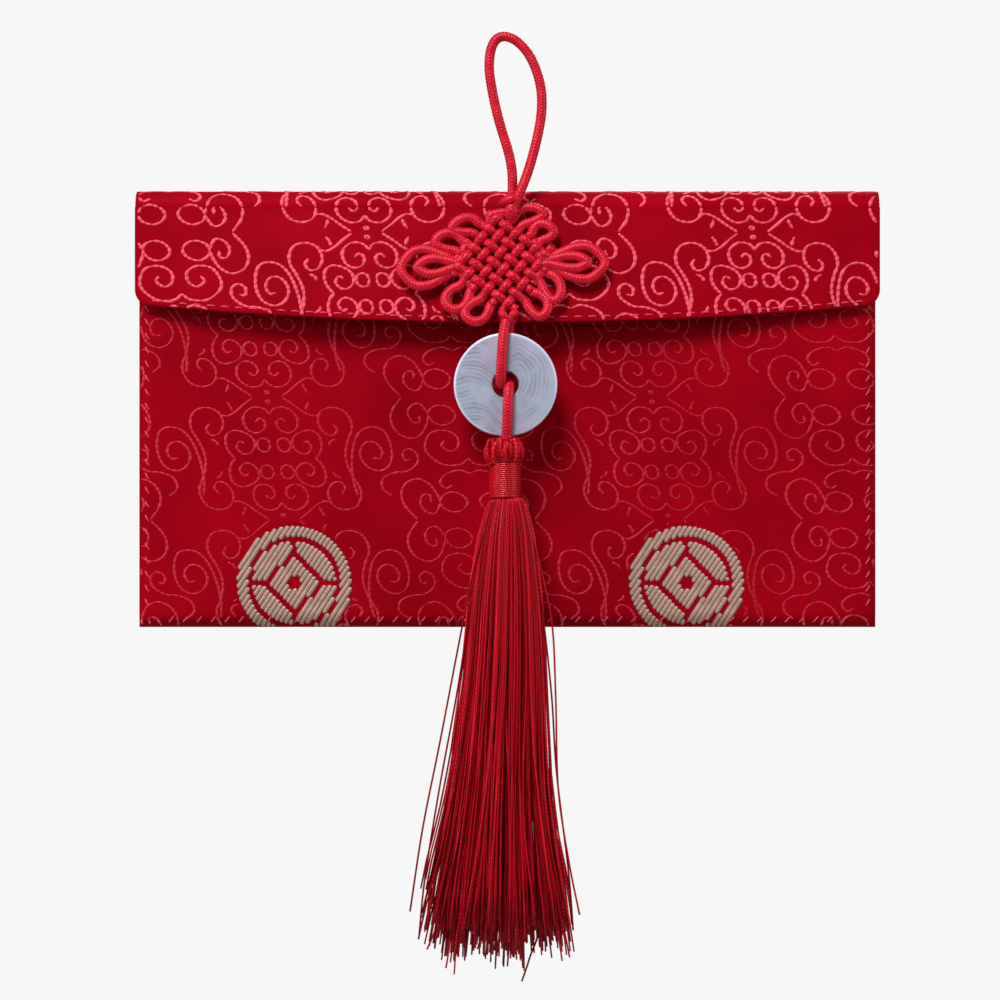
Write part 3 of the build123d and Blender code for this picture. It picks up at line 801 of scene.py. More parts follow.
class ENVELOPE_OT_flap(Operator):
    """Brocade flap with its rolled hem, its lining and the fold over the top"""

    bl_idname = "envelope.flap"
    bl_label = "Flap"

    def execute(self, context):
        def layer(name, inset, behind, thickness, material, slot, replaces):
            def surface(a, b):
                return flap_point(a, b * flap_edge(a, inset)) + behind * DEEP
            half = FLAP_HALF - inset - 0.1
            made = cloth(name, surface, np.linspace(-half, half, 110), np.linspace(0.02, 1, 26), "flap",
                         material, replaces, flip=True)
            return thicken(made, thickness, 0)

        layer("flap_board_card", 1.2, 0.7, 0.4, "grey_board", "board", ["flap_board"])
        self.cover()
        lining = layer("flap_lining_cloth", 1.0, 1.16, 0.15, "lining_cloth", "lining", ["flap_lining"])

        half = HALF_WIDTH + FOLD_OVERHANG
        fold = cloth("crease_fold_brocade", flap_point, np.linspace(-half, half, 120),
                     -CREASE_RADIUS * np.linspace(math.pi, 0, 41), None, replaces=["crease_fold"], flip=True)
        thicken(fold, 0.5, -1)
        blend_fold(fold)
        return {"FINISHED"}

    @staticmethod
    def cover():
        """The flap's brocade: a sheet inside the outline, and a hem that rolls back over a half circle.
        The hem is carried along the sheet's sides and foot, and square to them."""
        radius, rings = 0.6, 8
        x = rolled(FLAP_HALF - radius, FLAP_HALF - FLAP_CORNER, 140)
        down = np.linspace(0, 1, 34)[:, None] * flap_edge(x, radius)[None]
        sheet = stacked(x[None], down)
        number = np.arange(down.size).reshape(down.shape)
        border = np.concatenate([number[:-1, 0], number[-1], number[-2::-1, -1]])
        path = sheet.reshape(-1, 2)[border]
        ahead = unit(np.gradient(path, axis=0))
        out = stacked(-ahead[:, 1], ahead[:, 0])
        turn = np.linspace(0, math.pi, rings + 1)[1:, None, None]
        hem = path + radius * np.sin(turn) * out
        back = radius * (1 - np.cos(turn)) * DEEP
        points = np.concatenate([flap_point(x[None], down).reshape(-1, 3),
                                 (flap_point(hem[..., 0], hem[..., 1]) + back).reshape(-1, 3)])
        uv = np.concatenate([sheet.reshape(-1, 2), (path + radius * turn * out).reshape(-1, 2)])
        rows = np.concatenate([border[None], down.size + np.arange(rings * len(border)).reshape(rings, -1)])
        faces = np.concatenate([grid_faces(*down.shape), rows.ravel()[grid_faces(*rows.shape)]])
        shape = (points, faces[:, ::-1], uv, [])
        made = piece("flap_cover_brocade", shape, "flap", "brocade_ground", ["flap_cover"])
        thicken(made, 0.25, -1)


def blend_fold(made):
    """Bakes the piece's place into its points, so that it rides on no body."""
    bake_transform(made)


def on_front(x, down):
    """The front wall, with its places given as across and down from the origin."""
    return front_point(x, -down)


def on_back(x, down):
    """The back wall, with its places given as across and down from the origin."""
    return back_point(x, -down)


class ENVELOPE_OT_scrolls(Operator):
    """Raised scroll lines of the brocade, on the pocket, the fold and the flap"""

    bl_idname = "envelope.scrolls"
    bl_label = "Scrolls"

    def execute(self, context):
        s = sizes()
        half, foot, edge = 94.4, 149.6, 0.5
        flap_half, flap_edge_gap, fold_end = 94.6, 0.4, 13.6
        pocket_start, flap_start = (-61.7, 90.8), (-36.0, 6.6)
        over = -CREASE_Z - math.pi * CREASE_RADIUS
        front = scroll_lines(pocket_start, edge - MOUTH_Z, lambda x: foot, half)
        front = [run for line in front for run in runs(line, clear_of_medallions(line))]
        back = scroll_lines(flap_start, over - foot, lambda x: over + CREASE_Z - edge, half)
        back = [stacked(line[:, 0], over - line[:, 1]) for line in back]
        flap = scroll_lines(flap_start, 0.0, lambda x: flap_edge(x) - flap_edge_gap, flap_half)
        fold = scroll_lines(flap_start, -fold_end, lambda x: 0.0, flap_half)
        narrow = s.line_width * 0.76
        for name, lines, surface, sign, body, width, material in (
                ("front_scrolls", front, on_front, -1, "pocket", narrow, "pocket_scroll"),
                ("back_scrolls", back, on_back, 1, "pocket", narrow, "pocket_scroll"),
                ("flap_scrolls", flap, flap_point, -1, "flap", s.line_width, "flap_scroll"),
                ("fold_scrolls", fold, flap_point, -1, None, s.line_width, "flap_scroll")):
            height = s.line_height * width / s.line_width
            points, faces, uv, caps = ribbons(lines, surface, sign, width, height)
            shape = (points, faces if sign < 0 else faces[:, ::-1], uv, caps)
            made = piece(name, shape, body, material)
            if body is None:
                blend_fold(made)
        return {"FINISHED"}


MEDALLIONS = {"left_medallion": (-54.7, 138.5), "right_medallion": (46.0, 138.5)}


def clear_of_medallions(line):
    """Which points of a line on the front wall lie outside both medallions."""
    radius = sizes().medallion + 0.5
    return np.all([np.hypot(line[:, 0] - x, line[:, 1] - z) > radius for x, z in MEDALLIONS.values()], axis=0)


class ENVELOPE_OT_medallions(Operator):
    """Two round gold frets at the foot of the front wall"""

    bl_idname = "envelope.medallions"
    bl_label = "Medallions"

    def execute(self, context):
        width, height = 1.62, 0.30
        for name, (x, z) in MEDALLIONS.items():
            shape = ribbons(self.floats(x, z), on_front, -1, width, height, plain=True)
            piece(name, shape, "pocket", "gold_thread")
        return {"FINISHED"}

    @staticmethod
    def fret(x, z):
        """Where the fret is gold: a disc without a ring, a lozenge inside it, a small square in that and
        four bars."""
        ring, lozenge, line, square, bar = 11.3, 7.6, 0.68, 1.5, 0.5
        radius, slant = np.hypot(x, z), np.abs(x) + np.abs(z)
        near, far = np.sort(np.abs([x, z]), axis=0)
        gap = (np.abs(radius - ring) < bar) | (np.abs(slant - lozenge) < line) | (far < square)
        gap |= (near < bar) & (slant > lozenge) & (radius < ring)
        return (radius < sizes().medallion) & ~gap

    def floats(self, x, z):
        """Slanting threads that run wherever the fret is gold and the wall is in front."""
        slant, pitch, foot = math.radians(-57), 1.16, 149.8
        ahead = np.array([math.cos(slant), math.sin(slant)])
        side = np.array([-math.sin(slant), math.cos(slant)])
        reach = np.arange(-16, 16, 0.2)
        kept = []
        for offset in np.arange(-15, 15.1, pitch):
            line = reach[:, None] * ahead + offset * side
            inside = self.fret(line[:, 0], line[:, 1]) & (line[:, 1] + z < foot)
            kept += [run + (x, z) for run in runs(line, inside)]
        return kept


def stitch_row(name, place, x, z, way, body):
    """A row of stitches on a surface, each a half arch of thread, sunk in the cloth at both ends.
    x and z are the places of their middles. way is their direction before it is laid on the surface."""
    length, thickness, rings, sides = 2.2, 0.42, 7, 6
    out = outward(place, x, z, 1)
    out = np.where(out[:, 1:2] > 0, -out, out)
    along = unit(way - out * np.sum(out * way, axis=1, keepdims=True))
    across = np.cross(along, out)
    t = np.linspace(-1, 1, rings)
    rise = (1 - t**2) * thickness * 0.75 - thickness * 0.45
    spine = (t * length / 2)[None, :, None] * along[:, None] + rise[None, :, None] * out[:, None]
    radius = thickness / 2 * (0.55 + 0.45 * np.sqrt(1 - t**2 * 0.9))
    share = np.arange(sides) / sides
    turn = (TURN * share)[None, None, :, None]
    ring = np.cos(turn) * across[:, None, None] + np.sin(turn) * out[:, None, None]
    points = place(x, z)[:, None, None] + spine[:, :, None] + radius[None, :, None, None] * ring
    uv = stacked((t * length / 2)[:, None], share[None]).reshape(-1, 2)
    faces, caps = grid_faces(rings, sides, closed=True), end_caps(rings, sides)
    parts = [(stitch.reshape(-1, 3), faces, uv, caps) for stitch in points]
    piece(f"{name}_thread", joined(parts), body, "seam_thread", [name])


class ENVELOPE_OT_stitches(Operator):
    """Stitches along the side seams, the bottom seam, the mouth and the flap's hem"""

    bl_idname = "envelope.stitches"
    bl_label = "Stitches"

    def execute(self, context):
        pitch = sizes().stitch_pitch
        side, foot, mouth, hem, middle, knot_gap = 92.6, -147.9, -46.6, 1.4, -96.7, 7.0
        slant = math.radians(55)
        run, rise = math.cos(slant), math.sin(slant)

        def centred(count):
            return (np.arange(count) - count // 2) * pitch

        heights, feet = centred(27) + middle, centred(49)
        for name, x, z, way in (
                ("left_seam_stitches", np.full_like(heights, -side), heights, (run, 0, -rise)),
                ("right_seam_stitches", np.full_like(heights, side), heights, (run, 0, rise)),
                ("bottom_seam_stitches", feet, np.full_like(feet, foot), (run, 0, rise)),
                ("mouth_hem_stitches", feet, np.full_like(feet, mouth), (1, 0, 0))):
            stitch_row(name, front_point, x, z, np.array(way), "pocket")
        x = centred(51)
        x = x[np.abs(x) > knot_gap]

        def on_hem(x):
            return flap_point(x, flap_edge(x) - hem)
        way = on_hem(x + 0.5) - on_hem(x - 0.5)
        stitch_row("flap_hem_stitches", flap_point, x, flap_edge(x) - hem, way, "flap")
        return {"FINISHED"}


# Up from the flap's cloth, and north along it
KNOT_UP = np.array([0, -math.cos(FLAP_LEAN), math.sin(FLAP_LEAN)])
KNOT_NORTH = np.array([0, math.sin(FLAP_LEAN), math.cos(FLAP_LEAN)])

# The knot's turn, place on the flap, height off it and weave
KNOT_TILT = math.radians(8)
KNOT_CENTRE = np.array([-1.4, -14.9])
KNOT_RISE = 2.2
STRAND_PITCH, STRANDS = 3.15, 6
LAST = STRAND_PITCH * (STRANDS - 1) / 2

# Millimetres between the points along a cord, and the share by which its ribs stand out
FINE_STEP, RIB = 0.2, 0.02


def on_flap(places):
    """Places on the flap's own axes, x across, y up from the fold and height off the cloth, as points."""
    base = np.array([0, FLAP_FACE, CREASE_Z])
    return base + np.asarray(places, float) @ np.array([EAST, KNOT_NORTH, KNOT_UP])


def knot_places(along, across, height, run):
    """Places in the knot: along one diagonal run and across it, turned by the knot's tilt."""
    a = run + KNOT_TILT
    x = along * np.cos(a) - across * np.sin(a) + KNOT_CENTRE[0]
    y = along * np.sin(a) + across * np.cos(a) + KNOT_CENTRE[1]
    return stacked(x, y, KNOT_RISE + height)


class ENVELOPE_OT_knot(Operator):
    """The woven knot: two sets of strands, small ears, corner ears, the neck knot and the tacks"""

    bl_idname = "envelope.knot"
    bl_label = "Knot"

    wide, high, ear_full = 1.12, 0.96, 1.15

    def cord(self, places, full=1.0):
        """A satin cord through places on the flap, full times as wide as a strand."""
        return tube(evenly(on_flap(places), 0.21), self.wide * full, self.high, KNOT_UP, rib=RIB)

    def execute(self, context):
        groups = {
            "knot_falling_strands": [self.strand(number, math.radians(-45)) for number in range(STRANDS)],
            "knot_rising_strands": [self.strand(number, math.radians(45)) for number in range(STRANDS)],
            "knot_side_ears": [self.ear(*row) for row in self.ear_rows()],
            "left_corner_ear": self.corner_ear(15.0, 4.8, -1, (4.8, 2.0)),
            "right_corner_ear": self.corner_ear(15.4, -1.1, 1, (4.3, 1.6)),
            "neck_knot": self.neck(),
        }
        for name, parts in groups.items():
            piece(f"{name}_cord", joined(parts), "flap", "satin_cord", [name])
        radius, y = 0.25, -14.95
        tacks = [tube(on_flap([[x, y, 0.05], [x, y, 0.7], [x, y, 1.3]]), radius, radius, EAST, sides=8)
                 for x in (-22.4, 22.8)]
        piece("knot_tack_stitches_thread", joined(tacks), "flap", "seam_thread",
              ["knot_tack_stitches"])
        return {"FINISHED"}

    def strand(self, number, run):
        """One strand: straight along its run, rising and falling as a cosine from crossing to crossing."""
        lead = 2.6
        along = np.linspace(-LAST - lead, LAST + lead, 160)
        fade = np.clip((LAST + lead - np.abs(along)) / lead, 0, 1)
        height = 0.98 * np.cos(math.pi * (along + LAST) / STRAND_PITCH) * (-1) ** number * fade
        return self.cord(knot_places(along, STRAND_PITCH * number - LAST, height, run))

    @staticmethod
    def ear_rows():
        """Each small ear: its run, the middle of its two strands, its reach, its width and its lean."""
        low, high = -STRAND_PITCH, STRAND_PITCH
        return (
            (135, low, 15.6, 2.2, 2.9), (135, high, 16.8, 2.2, 2.0),
            (45, low, 14.6, 2.2, -1.2), (45, high, 16.5, 2.2, -3.0),
            (225, low, 17.7, 2.5, -0.3), (225, high, 17.2, 2.4, -0.8),
            (315, low, 17.0, 2.3, -1.0), (315, high, 17.2, 2.3, -2.2),
        )

    def ear(self, run, middle, reach, half, lean):
        """A small loop: out from one strand, round its tip and back to the next."""
        pitch = STRAND_PITCH / 2
        root = LAST + 1.2
        u = [0, 0.25, 0.5, 0.76, 0.94, 1, 0.94, 0.76, 0.5, 0.25, 0]
        v = [-pitch, -pitch, -half, -half - 0.1, -half * 0.66, 0, half * 0.66, half + 0.1, half, pitch, pitch]
        h = [0, 0.1, 0.3, 0.5, 0.7, 0.8, 0.7, 0.5, 0.3, 0.1, 0]
        u, v, h = (np.array(k, float) for k in (u, v, h))
        v = middle + v + lean * u**2
        u = root + (reach - root) * u
        return self.cord(smooth_line(knot_places(u, v, h - 0.4, math.radians(run)), FINE_STEP), self.ear_full)

    def corner_ear(self, full, turn, side, widths):
        """A corner ear: an outer loop and, inside it, a second one of the same cord."""
        loops = []
        turn = math.radians(turn)
        corner = math.sqrt(2) * LAST - 0.4
        for grow, lift, wide in ((1.0, 0.0, widths[0]), (0.72, 0.5, widths[1])):
            u = np.array([-2.6, 0.6, 3.4, 7.2, 10.8, 13.6, 10.8, 7.2, 3.4, 0.6, -2.6]) / 13.6 * (full * grow)
            v = np.array([-2.4, -0.7, -0.55, -0.95, -0.88, 0, 0.88, 0.95, 0.55, 0.7, 2.4])
            v[[0, 1, -2, -1]] *= 0.55
            v = v * wide * np.where(np.abs(u) < 1, 0.8, 1)
            x = side * (corner + u)
            place_x = x * math.cos(turn) - v * math.sin(turn) + KNOT_CENTRE[0]
            place_y = x * math.sin(turn) + v * math.cos(turn) + KNOT_CENTRE[1]
            height = KNOT_RISE + lift + 0.5 * np.sin(np.linspace(0, math.pi, len(u))) - 0.3
            loops.append(self.cord(smooth_line(stacked(place_x, place_y, height), FINE_STEP), self.ear_full))
        return loops

    def neck(self):
        """The neck: two strands from the knot's top corner, a wrap round the loop's ends and a turn down
        in front."""
        top = knot_places(np.array([LAST]), np.array([LAST]), np.array([0.2]), math.radians(45))[0]
        parts = []
        for side in (-1, 1):
            line = smooth_line([[top[0] + side * 1.5, top[1] - 1.6, KNOT_RISE - 0.2],
                                [top[0] + side * 1.25, top[1] + 1.0, KNOT_RISE + 0.4],
                                [0.9 + side * 1.0, -1.8, KNOT_RISE + 0.5],
                                [0.7 + side * 0.9, 0.6, KNOT_RISE]], FINE_STEP)
            parts.append(self.cord(line))
        t = np.linspace(0, TURN, 60)
        parts.append(self.cord(stacked(0.8 + 1.85 * np.cos(t), 0.5 + 0.4 * np.cos(t) + 0.3 * np.sin(t),
                                       KNOT_RISE + 0.8 + 1.6 * np.sin(t))))
        turn = [[1.0, 0.2, KNOT_RISE + 0.6], [1.05, -0.9, KNOT_RISE + 1.6], [1.0, -2.2, KNOT_RISE + 1.6],
                [0.9, -3.9, KNOT_RISE + 0.4]]
        parts.append(self.cord(smooth_line(turn, FINE_STEP), 1.4))
        return parts


def route_spline(name, route):
    """Points down the middle of a cord: those of a NURBS curve whose control points are the route's."""
    curve = bpy.data.curves.new(name, "CURVE")
    curve.dimensions = "3D"
    curve.resolution_u = 24
    spline = curve.splines.new("NURBS")
    spline.points.add(len(route) - 1)
    spline.points.foreach_set("co", np.c_[np.asarray(route) * MM, np.ones(len(route))].ravel())
    spline.order_u = 3
    spline.use_endpoint_u = True
    holder = bpy.data.objects.new(name, curve)
    mesh = bpy.data.meshes.new_from_object(holder)
    line = np.zeros(len(mesh.vertices) * 3, np.float32)
    mesh.vertices.foreach_get("co", line)
    bpy.data.objects.remove(holder)
    bpy.data.meshes.remove(mesh)
    bpy.data.curves.remove(curve)
    return line.reshape(-1, 3).astype(float) / MM


def free_cord(name, route, replaces, wide=1.0, high=1.0):
    """A satin cord along its route's spline."""
    line = evenly(route_spline(name, route), FINE_STEP)
    half = sizes().cord / 2
    shape = tube(line, half * wide, half * high, DEEP, rib=RIB)
    made = piece(name, shape, None, "satin_cord", replaces)
    sizes().cord * MM
    return made


class ENVELOPE_OT_hanging_loop(Operator):
    """The hanging loop of satin cord"""

    bl_idname = "envelope.hanging_loop"
    bl_label = "Hanging loop"

    def execute(self, context):
        neck_z = NECK[2] + 0.5
        route = [(1.1, -0.1, neck_z), (1.5, 0, -36.0), (0.7, 0, -29.5), (-2.1, 0, -20.9), (-3.9, 0, -13.0),
                 (-4.9, 0, -6.0), (-3.9, 0, -0.4), (-1.2, 0, 1.5), (2.6, 0, 0.1), (6.2, 0, -4.2),
                 (8.6, 0, -11.0), (8.9, 0, -18.0), (7.5, 0, -25.5), (5.6, -0.2, -32.5), (3.9, -1.5, -37.2),
                 (2.7, -1.9, -40.0), (2.0, -1.2, -42.4)]
        made = free_cord("hanging_loop_cord", route, ["hanging_loop"])
        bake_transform(made)
        return {"FINISHED"}


class ENVELOPE_OT_pendant(Operator):
    """The tail knot and the two cords that pass through the disc"""

    bl_idname = "envelope.pendant"
    bl_label = "Pendant"

    def execute(self, context):
        stand, bend_top, bend_low = 2.65, -100.5, -105.0
        heights = (TAIL[2] - 0.7, -75.0, DISC[2], DISC[2], -100.0, CROWN[2] + 2.7)
        for name, face, xs in (("front_cord", -1, (-0.4, -1.1, -1.75, -1.75, -1.3, -0.9)),
                               ("back_cord", 1, (0.4, 0.5, 0.35, 0.3, -0.1, -0.4))):
            depths = np.array([0.95, stand, stand, -stand, -stand, -1.3]) * face
            route = [(x, TAIL[1] + y, z) for x, y, z in zip(xs, depths, heights)]
            made = free_cord(f"{name}_satin", route, [name], 1.08, 0.9)
            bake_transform(made)
        parts = []
        radius, t = 0.95, np.linspace(0, TURN, 40)
        for side in (-1, 1):
            x = side * 1.05 + 0.72 * np.cos(t) * side + 0.2
            wrap = stacked(TAIL[0] + x, TAIL[1] + 1.2 * np.sin(t), TAIL[2] + 0.2 + 1.35 * np.cos(t + 0.5))
            parts.append(tube(evenly(wrap, FINE_STEP), radius, radius, EAST, rib=RIB))
        piece("tail_knot_cord", joined(parts), "pendant", "satin_cord", ["tail_knot"])
        return {"FINISHED"}


class ENVELOPE_OT_disc(Operator):
    """The pale stone disc: a half profile from rim to hole and its mirror, carried round the hole"""

    bl_idname = "envelope.disc"
    bl_label = "Disc"

    def execute(self, context):
        outer, inner, half = 13.1, 3.3, 1.3
        bevel_wide, bevel_high, rounding, count = 0.75, 0.55, 0.5, 128
        face_outer, face_inner, crown, crown_width = 11.9, 4.2, 0.05, 8.0
        t = np.linspace(0, math.pi / 2, 5)
        rim = [(outer - bevel_wide * (1 - np.sin(a)), -half + bevel_high * (1 - np.cos(a))) for a in t]
        face = [(r, -half - crown * math.sin(math.pi * (r - face_inner) / crown_width))
                for r in np.linspace(face_outer, face_inner, 12)]
        hole = [(inner + rounding * (1 - np.sin(a)), -half + rounding * (1 - np.cos(a))) for a in t]
        front = rim[::-1] + face + hole
        ring = np.array(front + [(r, -h) for r, h in front[::-1]])
        turn = TURN * np.arange(count) / count
        radius, depth = ring[:, :1], ring[:, 1:]
        points = DISC + stacked(radius * np.cos(turn), depth, radius * np.sin(turn)).reshape(-1, 3)
        faces = grid_faces(len(ring) + 1, count, closed=True) % len(points)
        piece("disc_stone", (points, faces, points[:, ::2], []), "disc", "banded_stone", ["disc"])
        return {"FINISHED"}


# Loose strands of the skirt, as places across and up
LOOSE_STRANDS = (
    [(-4.0, -118), (-8.6, -135), (-12.2, -153), (-17.0, -178), (-21.4, -200), (-24.6, -221)],
    [(-3.6, -118), (-8.6, -140), (-12.6, -165), (-17.2, -190), (-20.9, -213), (-22.4, -228)],
    [(4.4, -118), (9.2, -138), (11.4, -150), (12.2, -168), (12.8, -190), (15.4, -208), (18.2, -222)],
    [(3.6, -118), (8.0, -140), (11.0, -165), (12.4, -186), (15.4, -211), (16.6, -226)],
    [(1.0, -118), (3.5, -150), (6.0, -190), (8.2, -222), (5.6, -233), (3.6, -239)],
    [(-1.0, -118), (-3.0, -150), (-5.5, -185), (-11.5, -206), (-17.5, -224), (-20.4, -231)],
    [(0.6, -118), (0.4, -150), (1.4, -186), (-1.8, -208), (-6.2, -226), (-7.6, -231)],
)
LOOSE_RADIUS = 0.24


def numbered(shape, number):
    """The shape, with a strand's number as the second part of its UV."""
    shape[2][:, 1] = number
    return shape


class ENVELOPE_OT_tassel(Operator):
    """The tassel: folded threads at the crown, the bound neck and the skirt of strands"""

    bl_idname = "envelope.tassel"
    bl_label = "Tassel"

    def execute(self, context):
        self.crown()
        self.binding()
        self.skirt()
        return {"FINISHED"}

    def crown(self):
        """Folded threads: each rises from the binding, bulges out, turns over at its own height and goes
        back in."""
        rng = np.random.default_rng(11)
        step, layer_numbers = 0.4, 60
        parts = []
        for layer, count, swell in ((0, 58, 4.7), (1, 46, 3.9), (2, 26, 2.4)):
            for k in range(count):
                angle = TURN * (k + rng.uniform(-0.35, 0.35)) / count
                out = swell * rng.uniform(0.86, 1.08)
                tip = rng.uniform(3.2, 5.2)
                radius = np.array([3.2, out * 0.96, out * 1.02, out * 0.97, out * 0.80, out * 0.45])
                height = np.array([-1.3, 0.1, 1.6, tip - 0.9, tip, tip - 1.6])
                turn = angle + np.linspace(0, rng.uniform(-0.45, 0.45), 6)
                spine = stacked(radius * np.cos(turn) - 0.3, radius * np.sin(turn), height) + CROWN
                way = np.array([math.cos(angle), math.sin(angle), 0.01])
                thick = rng.uniform(0.31, 0.44)
                thread = tube(smooth_line(spine, step), thick, thick, way, sides=7)
                parts.append(numbered(thread, k + layer_numbers * layer))
        places = [(-1.6, -3.6, -0.6), (-2.9, -3.5, -0.7), (-4.3, -2.6, -1.3), (-4.9, -2.2, -1.5)]
        loose = smooth_line(places, step) + CROWN
        parts.append(tube(loose, LOOSE_RADIUS, LOOSE_RADIUS, HIGH, sides=7))
        piece("tassel_crown_threads", joined(parts), "tassel", "tassel_thread", ["tassel_crown"])

    def binding(self):
        """Thread wound tightly down the neck: one helix of 17 turns round a plain core."""
        turns, thread, gap = 17, 0.56, 0.3
        top, low = CROWN[2] - 0.8, CROWN[2] - 10.0
        t = np.linspace(0, turns, turns * 36)
        radius = 3.72 + 0.12 * np.sin(math.pi * t / turns)
        line = stacked(CROWN[0] + radius * np.cos(TURN * t), CROWN[1] + radius * np.sin(TURN * t),
                       low + gap + (top - low - 2 * gap) * t / turns)
        piece("tassel_binding_thread", tube(line, thread / 2, thread / 2, HIGH, sides=8), "tassel",
              "binding_thread", ["tassel_binding"])
        rings, sides, flutes = 12, 48, 16
        turn = TURN * np.arange(sides) / sides
        heights = np.linspace(low - 2 * gap, top + gap, rings)
        flute = 3.42 + 0.05 * np.sin(turn * flutes)
        points = stacked(CROWN[0] + flute * np.cos(turn), CROWN[1] + flute * np.sin(turn), heights[:, None])
        core = (points.reshape(-1, 3), grid_faces(rings, sides, closed=True),
                stacked(heights[:, None], turn).reshape(-1, 2), end_caps(rings, sides))
        piece("tassel_core_threads", core, "tassel", "tassel_thread", ["tassel_core"])

    def skirt(self):
        """Strands from under the binding to ragged ends. Each leaves its place in the neck, follows the
        skirt's outline down, drifts to a place of its own, gathers towards its lock and waves a little.
        The square root of its number sets how far out it starts. A few loose ones follow lines of their
        own."""
        rng = np.random.default_rng(5)
        count, locks, sides, start = sizes().strands, 60, 3, 9.6
        t = np.concatenate([[0, 0.012, 0.028, 0.05, 0.09], np.linspace(0.15, 1, 13)])
        half_x = np.interp(t, [0, 0.012, 0.04, 0.10, 0.17, 0.23, 0.30, 0.47, 0.66, 0.80, 0.93, 1.0],
                           [3.7, 4.7, 5.7, 7.4, 8.3, 9.3, 9.9, 11.2, 13.0, 15.4, 18.3, 19.4])
        half_y = np.interp(t, [0, 0.04, 0.30, 1], [3.4, 4.3, 5.6, 8.2])
        lean = np.interp(t, [0, 0.4, 0.66, 1], [0.5, -0.4, -1.6, -2.9])
        number = np.arange(count)
        spread = np.sqrt((number + 0.5) / count)
        angle = number * math.radians(137.508)
        across, deep = spread * np.cos(angle), spread * np.sin(angle)
        lock = (np.argsort(np.argsort(across)) * locks // count + rng.integers(0, 2, count)) % locks
        middle = np.array([across[lock == k].mean() for k in range(locks)])[lock]
        drift = rng.normal(0, 0.09, locks)[lock] + rng.normal(0, 0.08, count)
        end = np.clip(across + 0.5 * (middle - across) + drift, -1.04, 1.04)
        share = t**1.4
        length = 111.0 + rng.normal(0, 3.2, count) + 2.5 * np.sin(middle * 9) - 5.0 * spread**4

        def column(values):
            return values[:, None]

        size, speed = rng.normal(0, 0.5, count), rng.uniform(0.4, 1.1, count)
        wave = column(size) * np.sin(t * TURN * column(speed) + column(number))
        size, speed = rng.normal(0, 1.0, locks)[lock], rng.uniform(0.5, 1.0, locks)[lock]
        bend = column(size) * np.sin(t * TURN * column(speed)) * (1 - np.abs(column(across)) ** 3)
        x = lean + half_x * (column(across) * (1 - share) + column(end) * share) + (wave + bend) * t
        y = column(deep) * half_y + 0.6 * wave * t
        down = column(length) * t
        spine = CROWN + stacked(x, y, -start - down)
        radius = np.interp(t, [0, 0.15, 0.9, 1], [0.25, 0.29, 0.29, 0.26])
        turn = TURN * np.arange(sides) / sides + column(number)
        ring = stacked(np.cos(turn), np.sin(turn), 0)
        points = spine[:, :, None] + radius[None, :, None, None] * ring[:, None]
        uv = stacked(down[..., None], number[:, None, None] + np.zeros(sides))
        faces = grid_faces(len(t), sides, closed=True)[:, ::-1]
        caps = [cap[::-1] for cap in end_caps(len(t), sides)]
        parts = [(p.reshape(-1, 3), faces, u.reshape(-1, 2), caps) for p, u in zip(points, uv)]
        for k, line in enumerate(LOOSE_STRANDS):
            spine = [(x, CROWN[1] - 2.5 + 0.5 * k, z) for x, z in line]
            loose = tube(smooth_line(spine, 2.0), LOOSE_RADIUS, LOOSE_RADIUS, DEEP, sides=4)
            parts.append(numbered(loose, count + k))
        piece("tassel_skirt_strands", joined(parts), "tassel", "tassel_thread", ["tassel_skirt"])


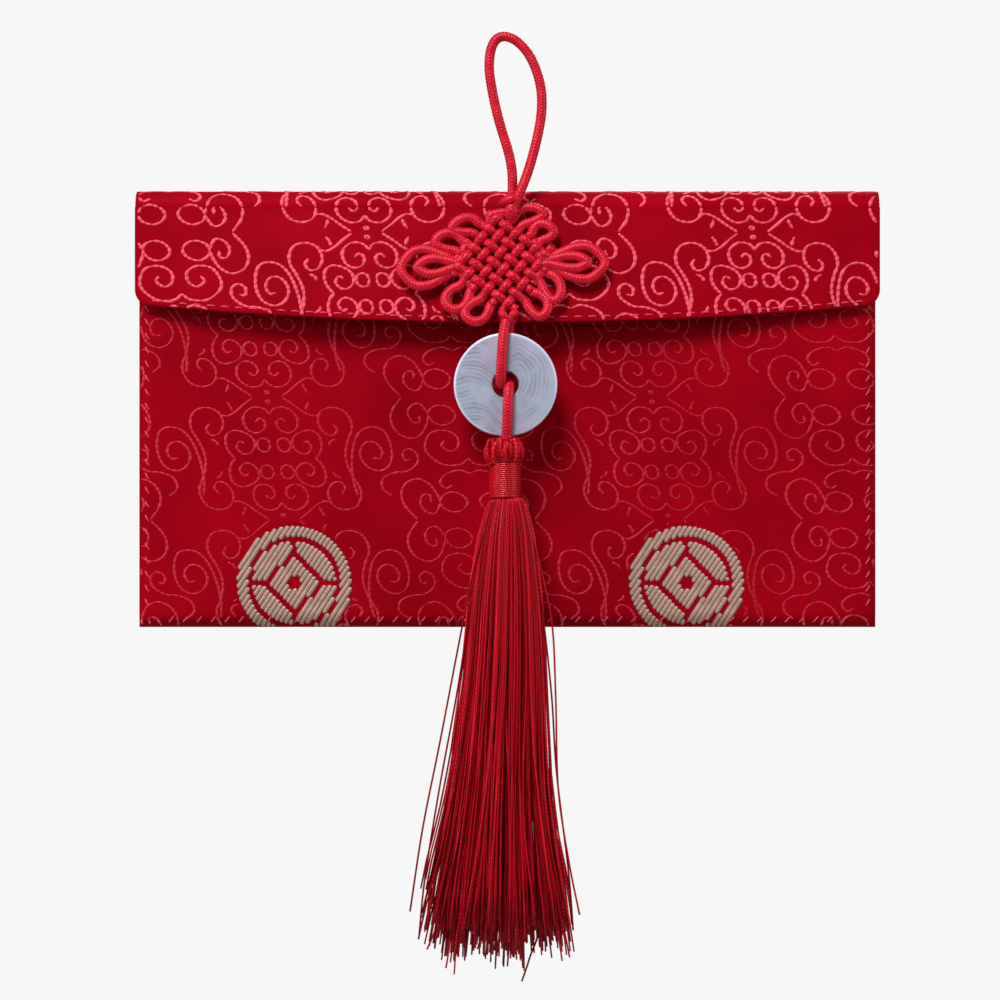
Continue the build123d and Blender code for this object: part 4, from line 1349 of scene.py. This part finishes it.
class ENVELOPE_OT_stage(Operator):
    """Pale sweep, soft lights and the camera"""

    bl_idname = "envelope.stage"
    bl_label = "Stage"

    def execute(self, context):
        scene = context.scene
        scene.view_settings.view_transform = "Standard"
        self.sweep()
        self.world(scene)
        aim = Vector((0, 0, -0.12))
        for name, place, width, watts in (
                ("key", (-0.30, -0.75, 0.80), 0.5, 14.4),
                ("left", (-0.85, -0.35, 0.10), 0.4, 3.2),
                ("right", (0.85, -0.35, 0.10), 0.5, 3.0),
                ("back", (0.25, 0.75, 0.45), 0.6, 4.5)):
            lamp = bpy.data.lights.new(name, "AREA")
            lamp.shape, lamp.size, lamp.energy = "DISK", width, watts
            holder = placed(name, lamp)
            holder.location = place
            holder.rotation_euler = (aim - Vector(place)).to_track_quat("-Z", "Y").to_euler()
        lens, sensor, seen, focus_y = 90.0, 36.0, 0.2564, 0.003
        eye = bpy.data.cameras.new("camera")
        eye.lens, eye.sensor_width = lens, sensor
        scene.camera = placed("camera", eye)
        scene.camera.location = (-0.0019, focus_y - seen * lens / sensor, -0.1172)
        scene.camera.rotation_euler = (math.pi / 2, 0, 0)
        return {"FINISHED"}

    @staticmethod
    def sweep():
        """A floor that turns up into a backdrop through a quarter circle, carried across the stage."""
        floor, front, back, top, bend, half = -0.90, -3.0, 2.6, 3.0, 0.6, 5.0
        t = np.linspace(0, math.pi / 2, 17)
        y = np.concatenate([[front], back - bend + bend * np.sin(t), [back]])
        z = np.concatenate([[floor], floor + bend * (1 - np.cos(t)), [top]])
        grid = stacked([-half, half], y[:, None], z[:, None])
        mesh = bpy.data.meshes.new("sweep")
        mesh.from_pydata(grid.reshape(-1, 3).tolist(), [], grid_faces(len(y), 2).tolist())
        mesh.polygons.foreach_set("use_smooth", np.ones(len(mesh.polygons), bool))
        f = Finish("pale_sweep")
        f.feed("Base Color", f.tones(f.noise(f.places(), 3.0), colours().floor, 0.985, 1.0))
        f.constant(Roughness=0.9)
        glow = f.node("ShaderNodeEmission", {}, {"Color": (0.93, 0.93, 0.93, 1), "Strength": 1.0})
        seen = f.node("ShaderNodeLightPath", output="Is Camera Ray")
        shown = f.node("ShaderNodeMixShader", {}, {0: seen, 1: Shade(f.tree, f.shader.outputs[0]), 2: glow})
        f.tree.links.new(shown.socket, f.tree.nodes["Material Output"].inputs[0])
        mesh.materials.append(f.material)
        placed("sweep", mesh)

    @staticmethod
    def world(scene):
        """A pale surround: bright to the camera and to gloss, softer as light on the object."""
        world = bpy.data.worlds.new("studio")
        world.use_nodes = True
        tree = world.node_tree
        ray = add_node(tree, "ShaderNodeLightPath")
        camera, gloss = Shade(tree, ray.outputs["Is Camera Ray"]), Shade(tree, ray.outputs["Is Glossy Ray"])
        sent = Shade(tree, ray.outputs["Is Transmission Ray"])
        strength = 0.06 + camera * 0.87 + (gloss + sent) * 0.06
        ground = tree.nodes["Background"]
        ground.inputs[0].default_value = (1, 1, 1, 1)
        tree.links.new(strength.socket, ground.inputs[1])
        scene.world = world


class ENVELOPE_PT_panel(Panel):
    """Lists the envelope's pieces"""

    bl_idname = "ENVELOPE_PT_panel"
    bl_label = "Brocade envelope"
    bl_space_type = "VIEW_3D"
    bl_region_type = "UI"
    bl_category = "Envelope"

    def draw(self, context):
        for operator in OPERATORS:
            self.layout.operator(operator.bl_idname)
        for group in (context.scene.envelope_sizes, context.scene.envelope_colours):
            for name in group.__annotations__:
                self.layout.prop(group, name)


OPERATORS = (
    ENVELOPE_OT_stage, ENVELOPE_OT_pocket, ENVELOPE_OT_flap,
    ENVELOPE_OT_scrolls, ENVELOPE_OT_medallions, ENVELOPE_OT_stitches,
    ENVELOPE_OT_knot, ENVELOPE_OT_hanging_loop, ENVELOPE_OT_pendant,
    ENVELOPE_OT_disc, ENVELOPE_OT_tassel,
)
CLASSES = (EnvelopeSizes, EnvelopeColours, *OPERATORS, ENVELOPE_PT_panel)


def register():
    for cls in CLASSES:
        bpy.utils.register_class(cls)
    bpy.types.Scene.envelope_sizes = PointerProperty(type=EnvelopeSizes)
    bpy.types.Scene.envelope_colours = PointerProperty(type=EnvelopeColours)


def unregister():
    del bpy.types.Scene.envelope_sizes
    del bpy.types.Scene.envelope_colours
    for cls in reversed(CLASSES):
        bpy.utils.unregister_class(cls)


def main():
    register()
    for operator in OPERATORS:
        group, name = operator.bl_idname.split(".")
        getattr(getattr(bpy.ops, group), name)()


if __name__ == "__main__":
    main()
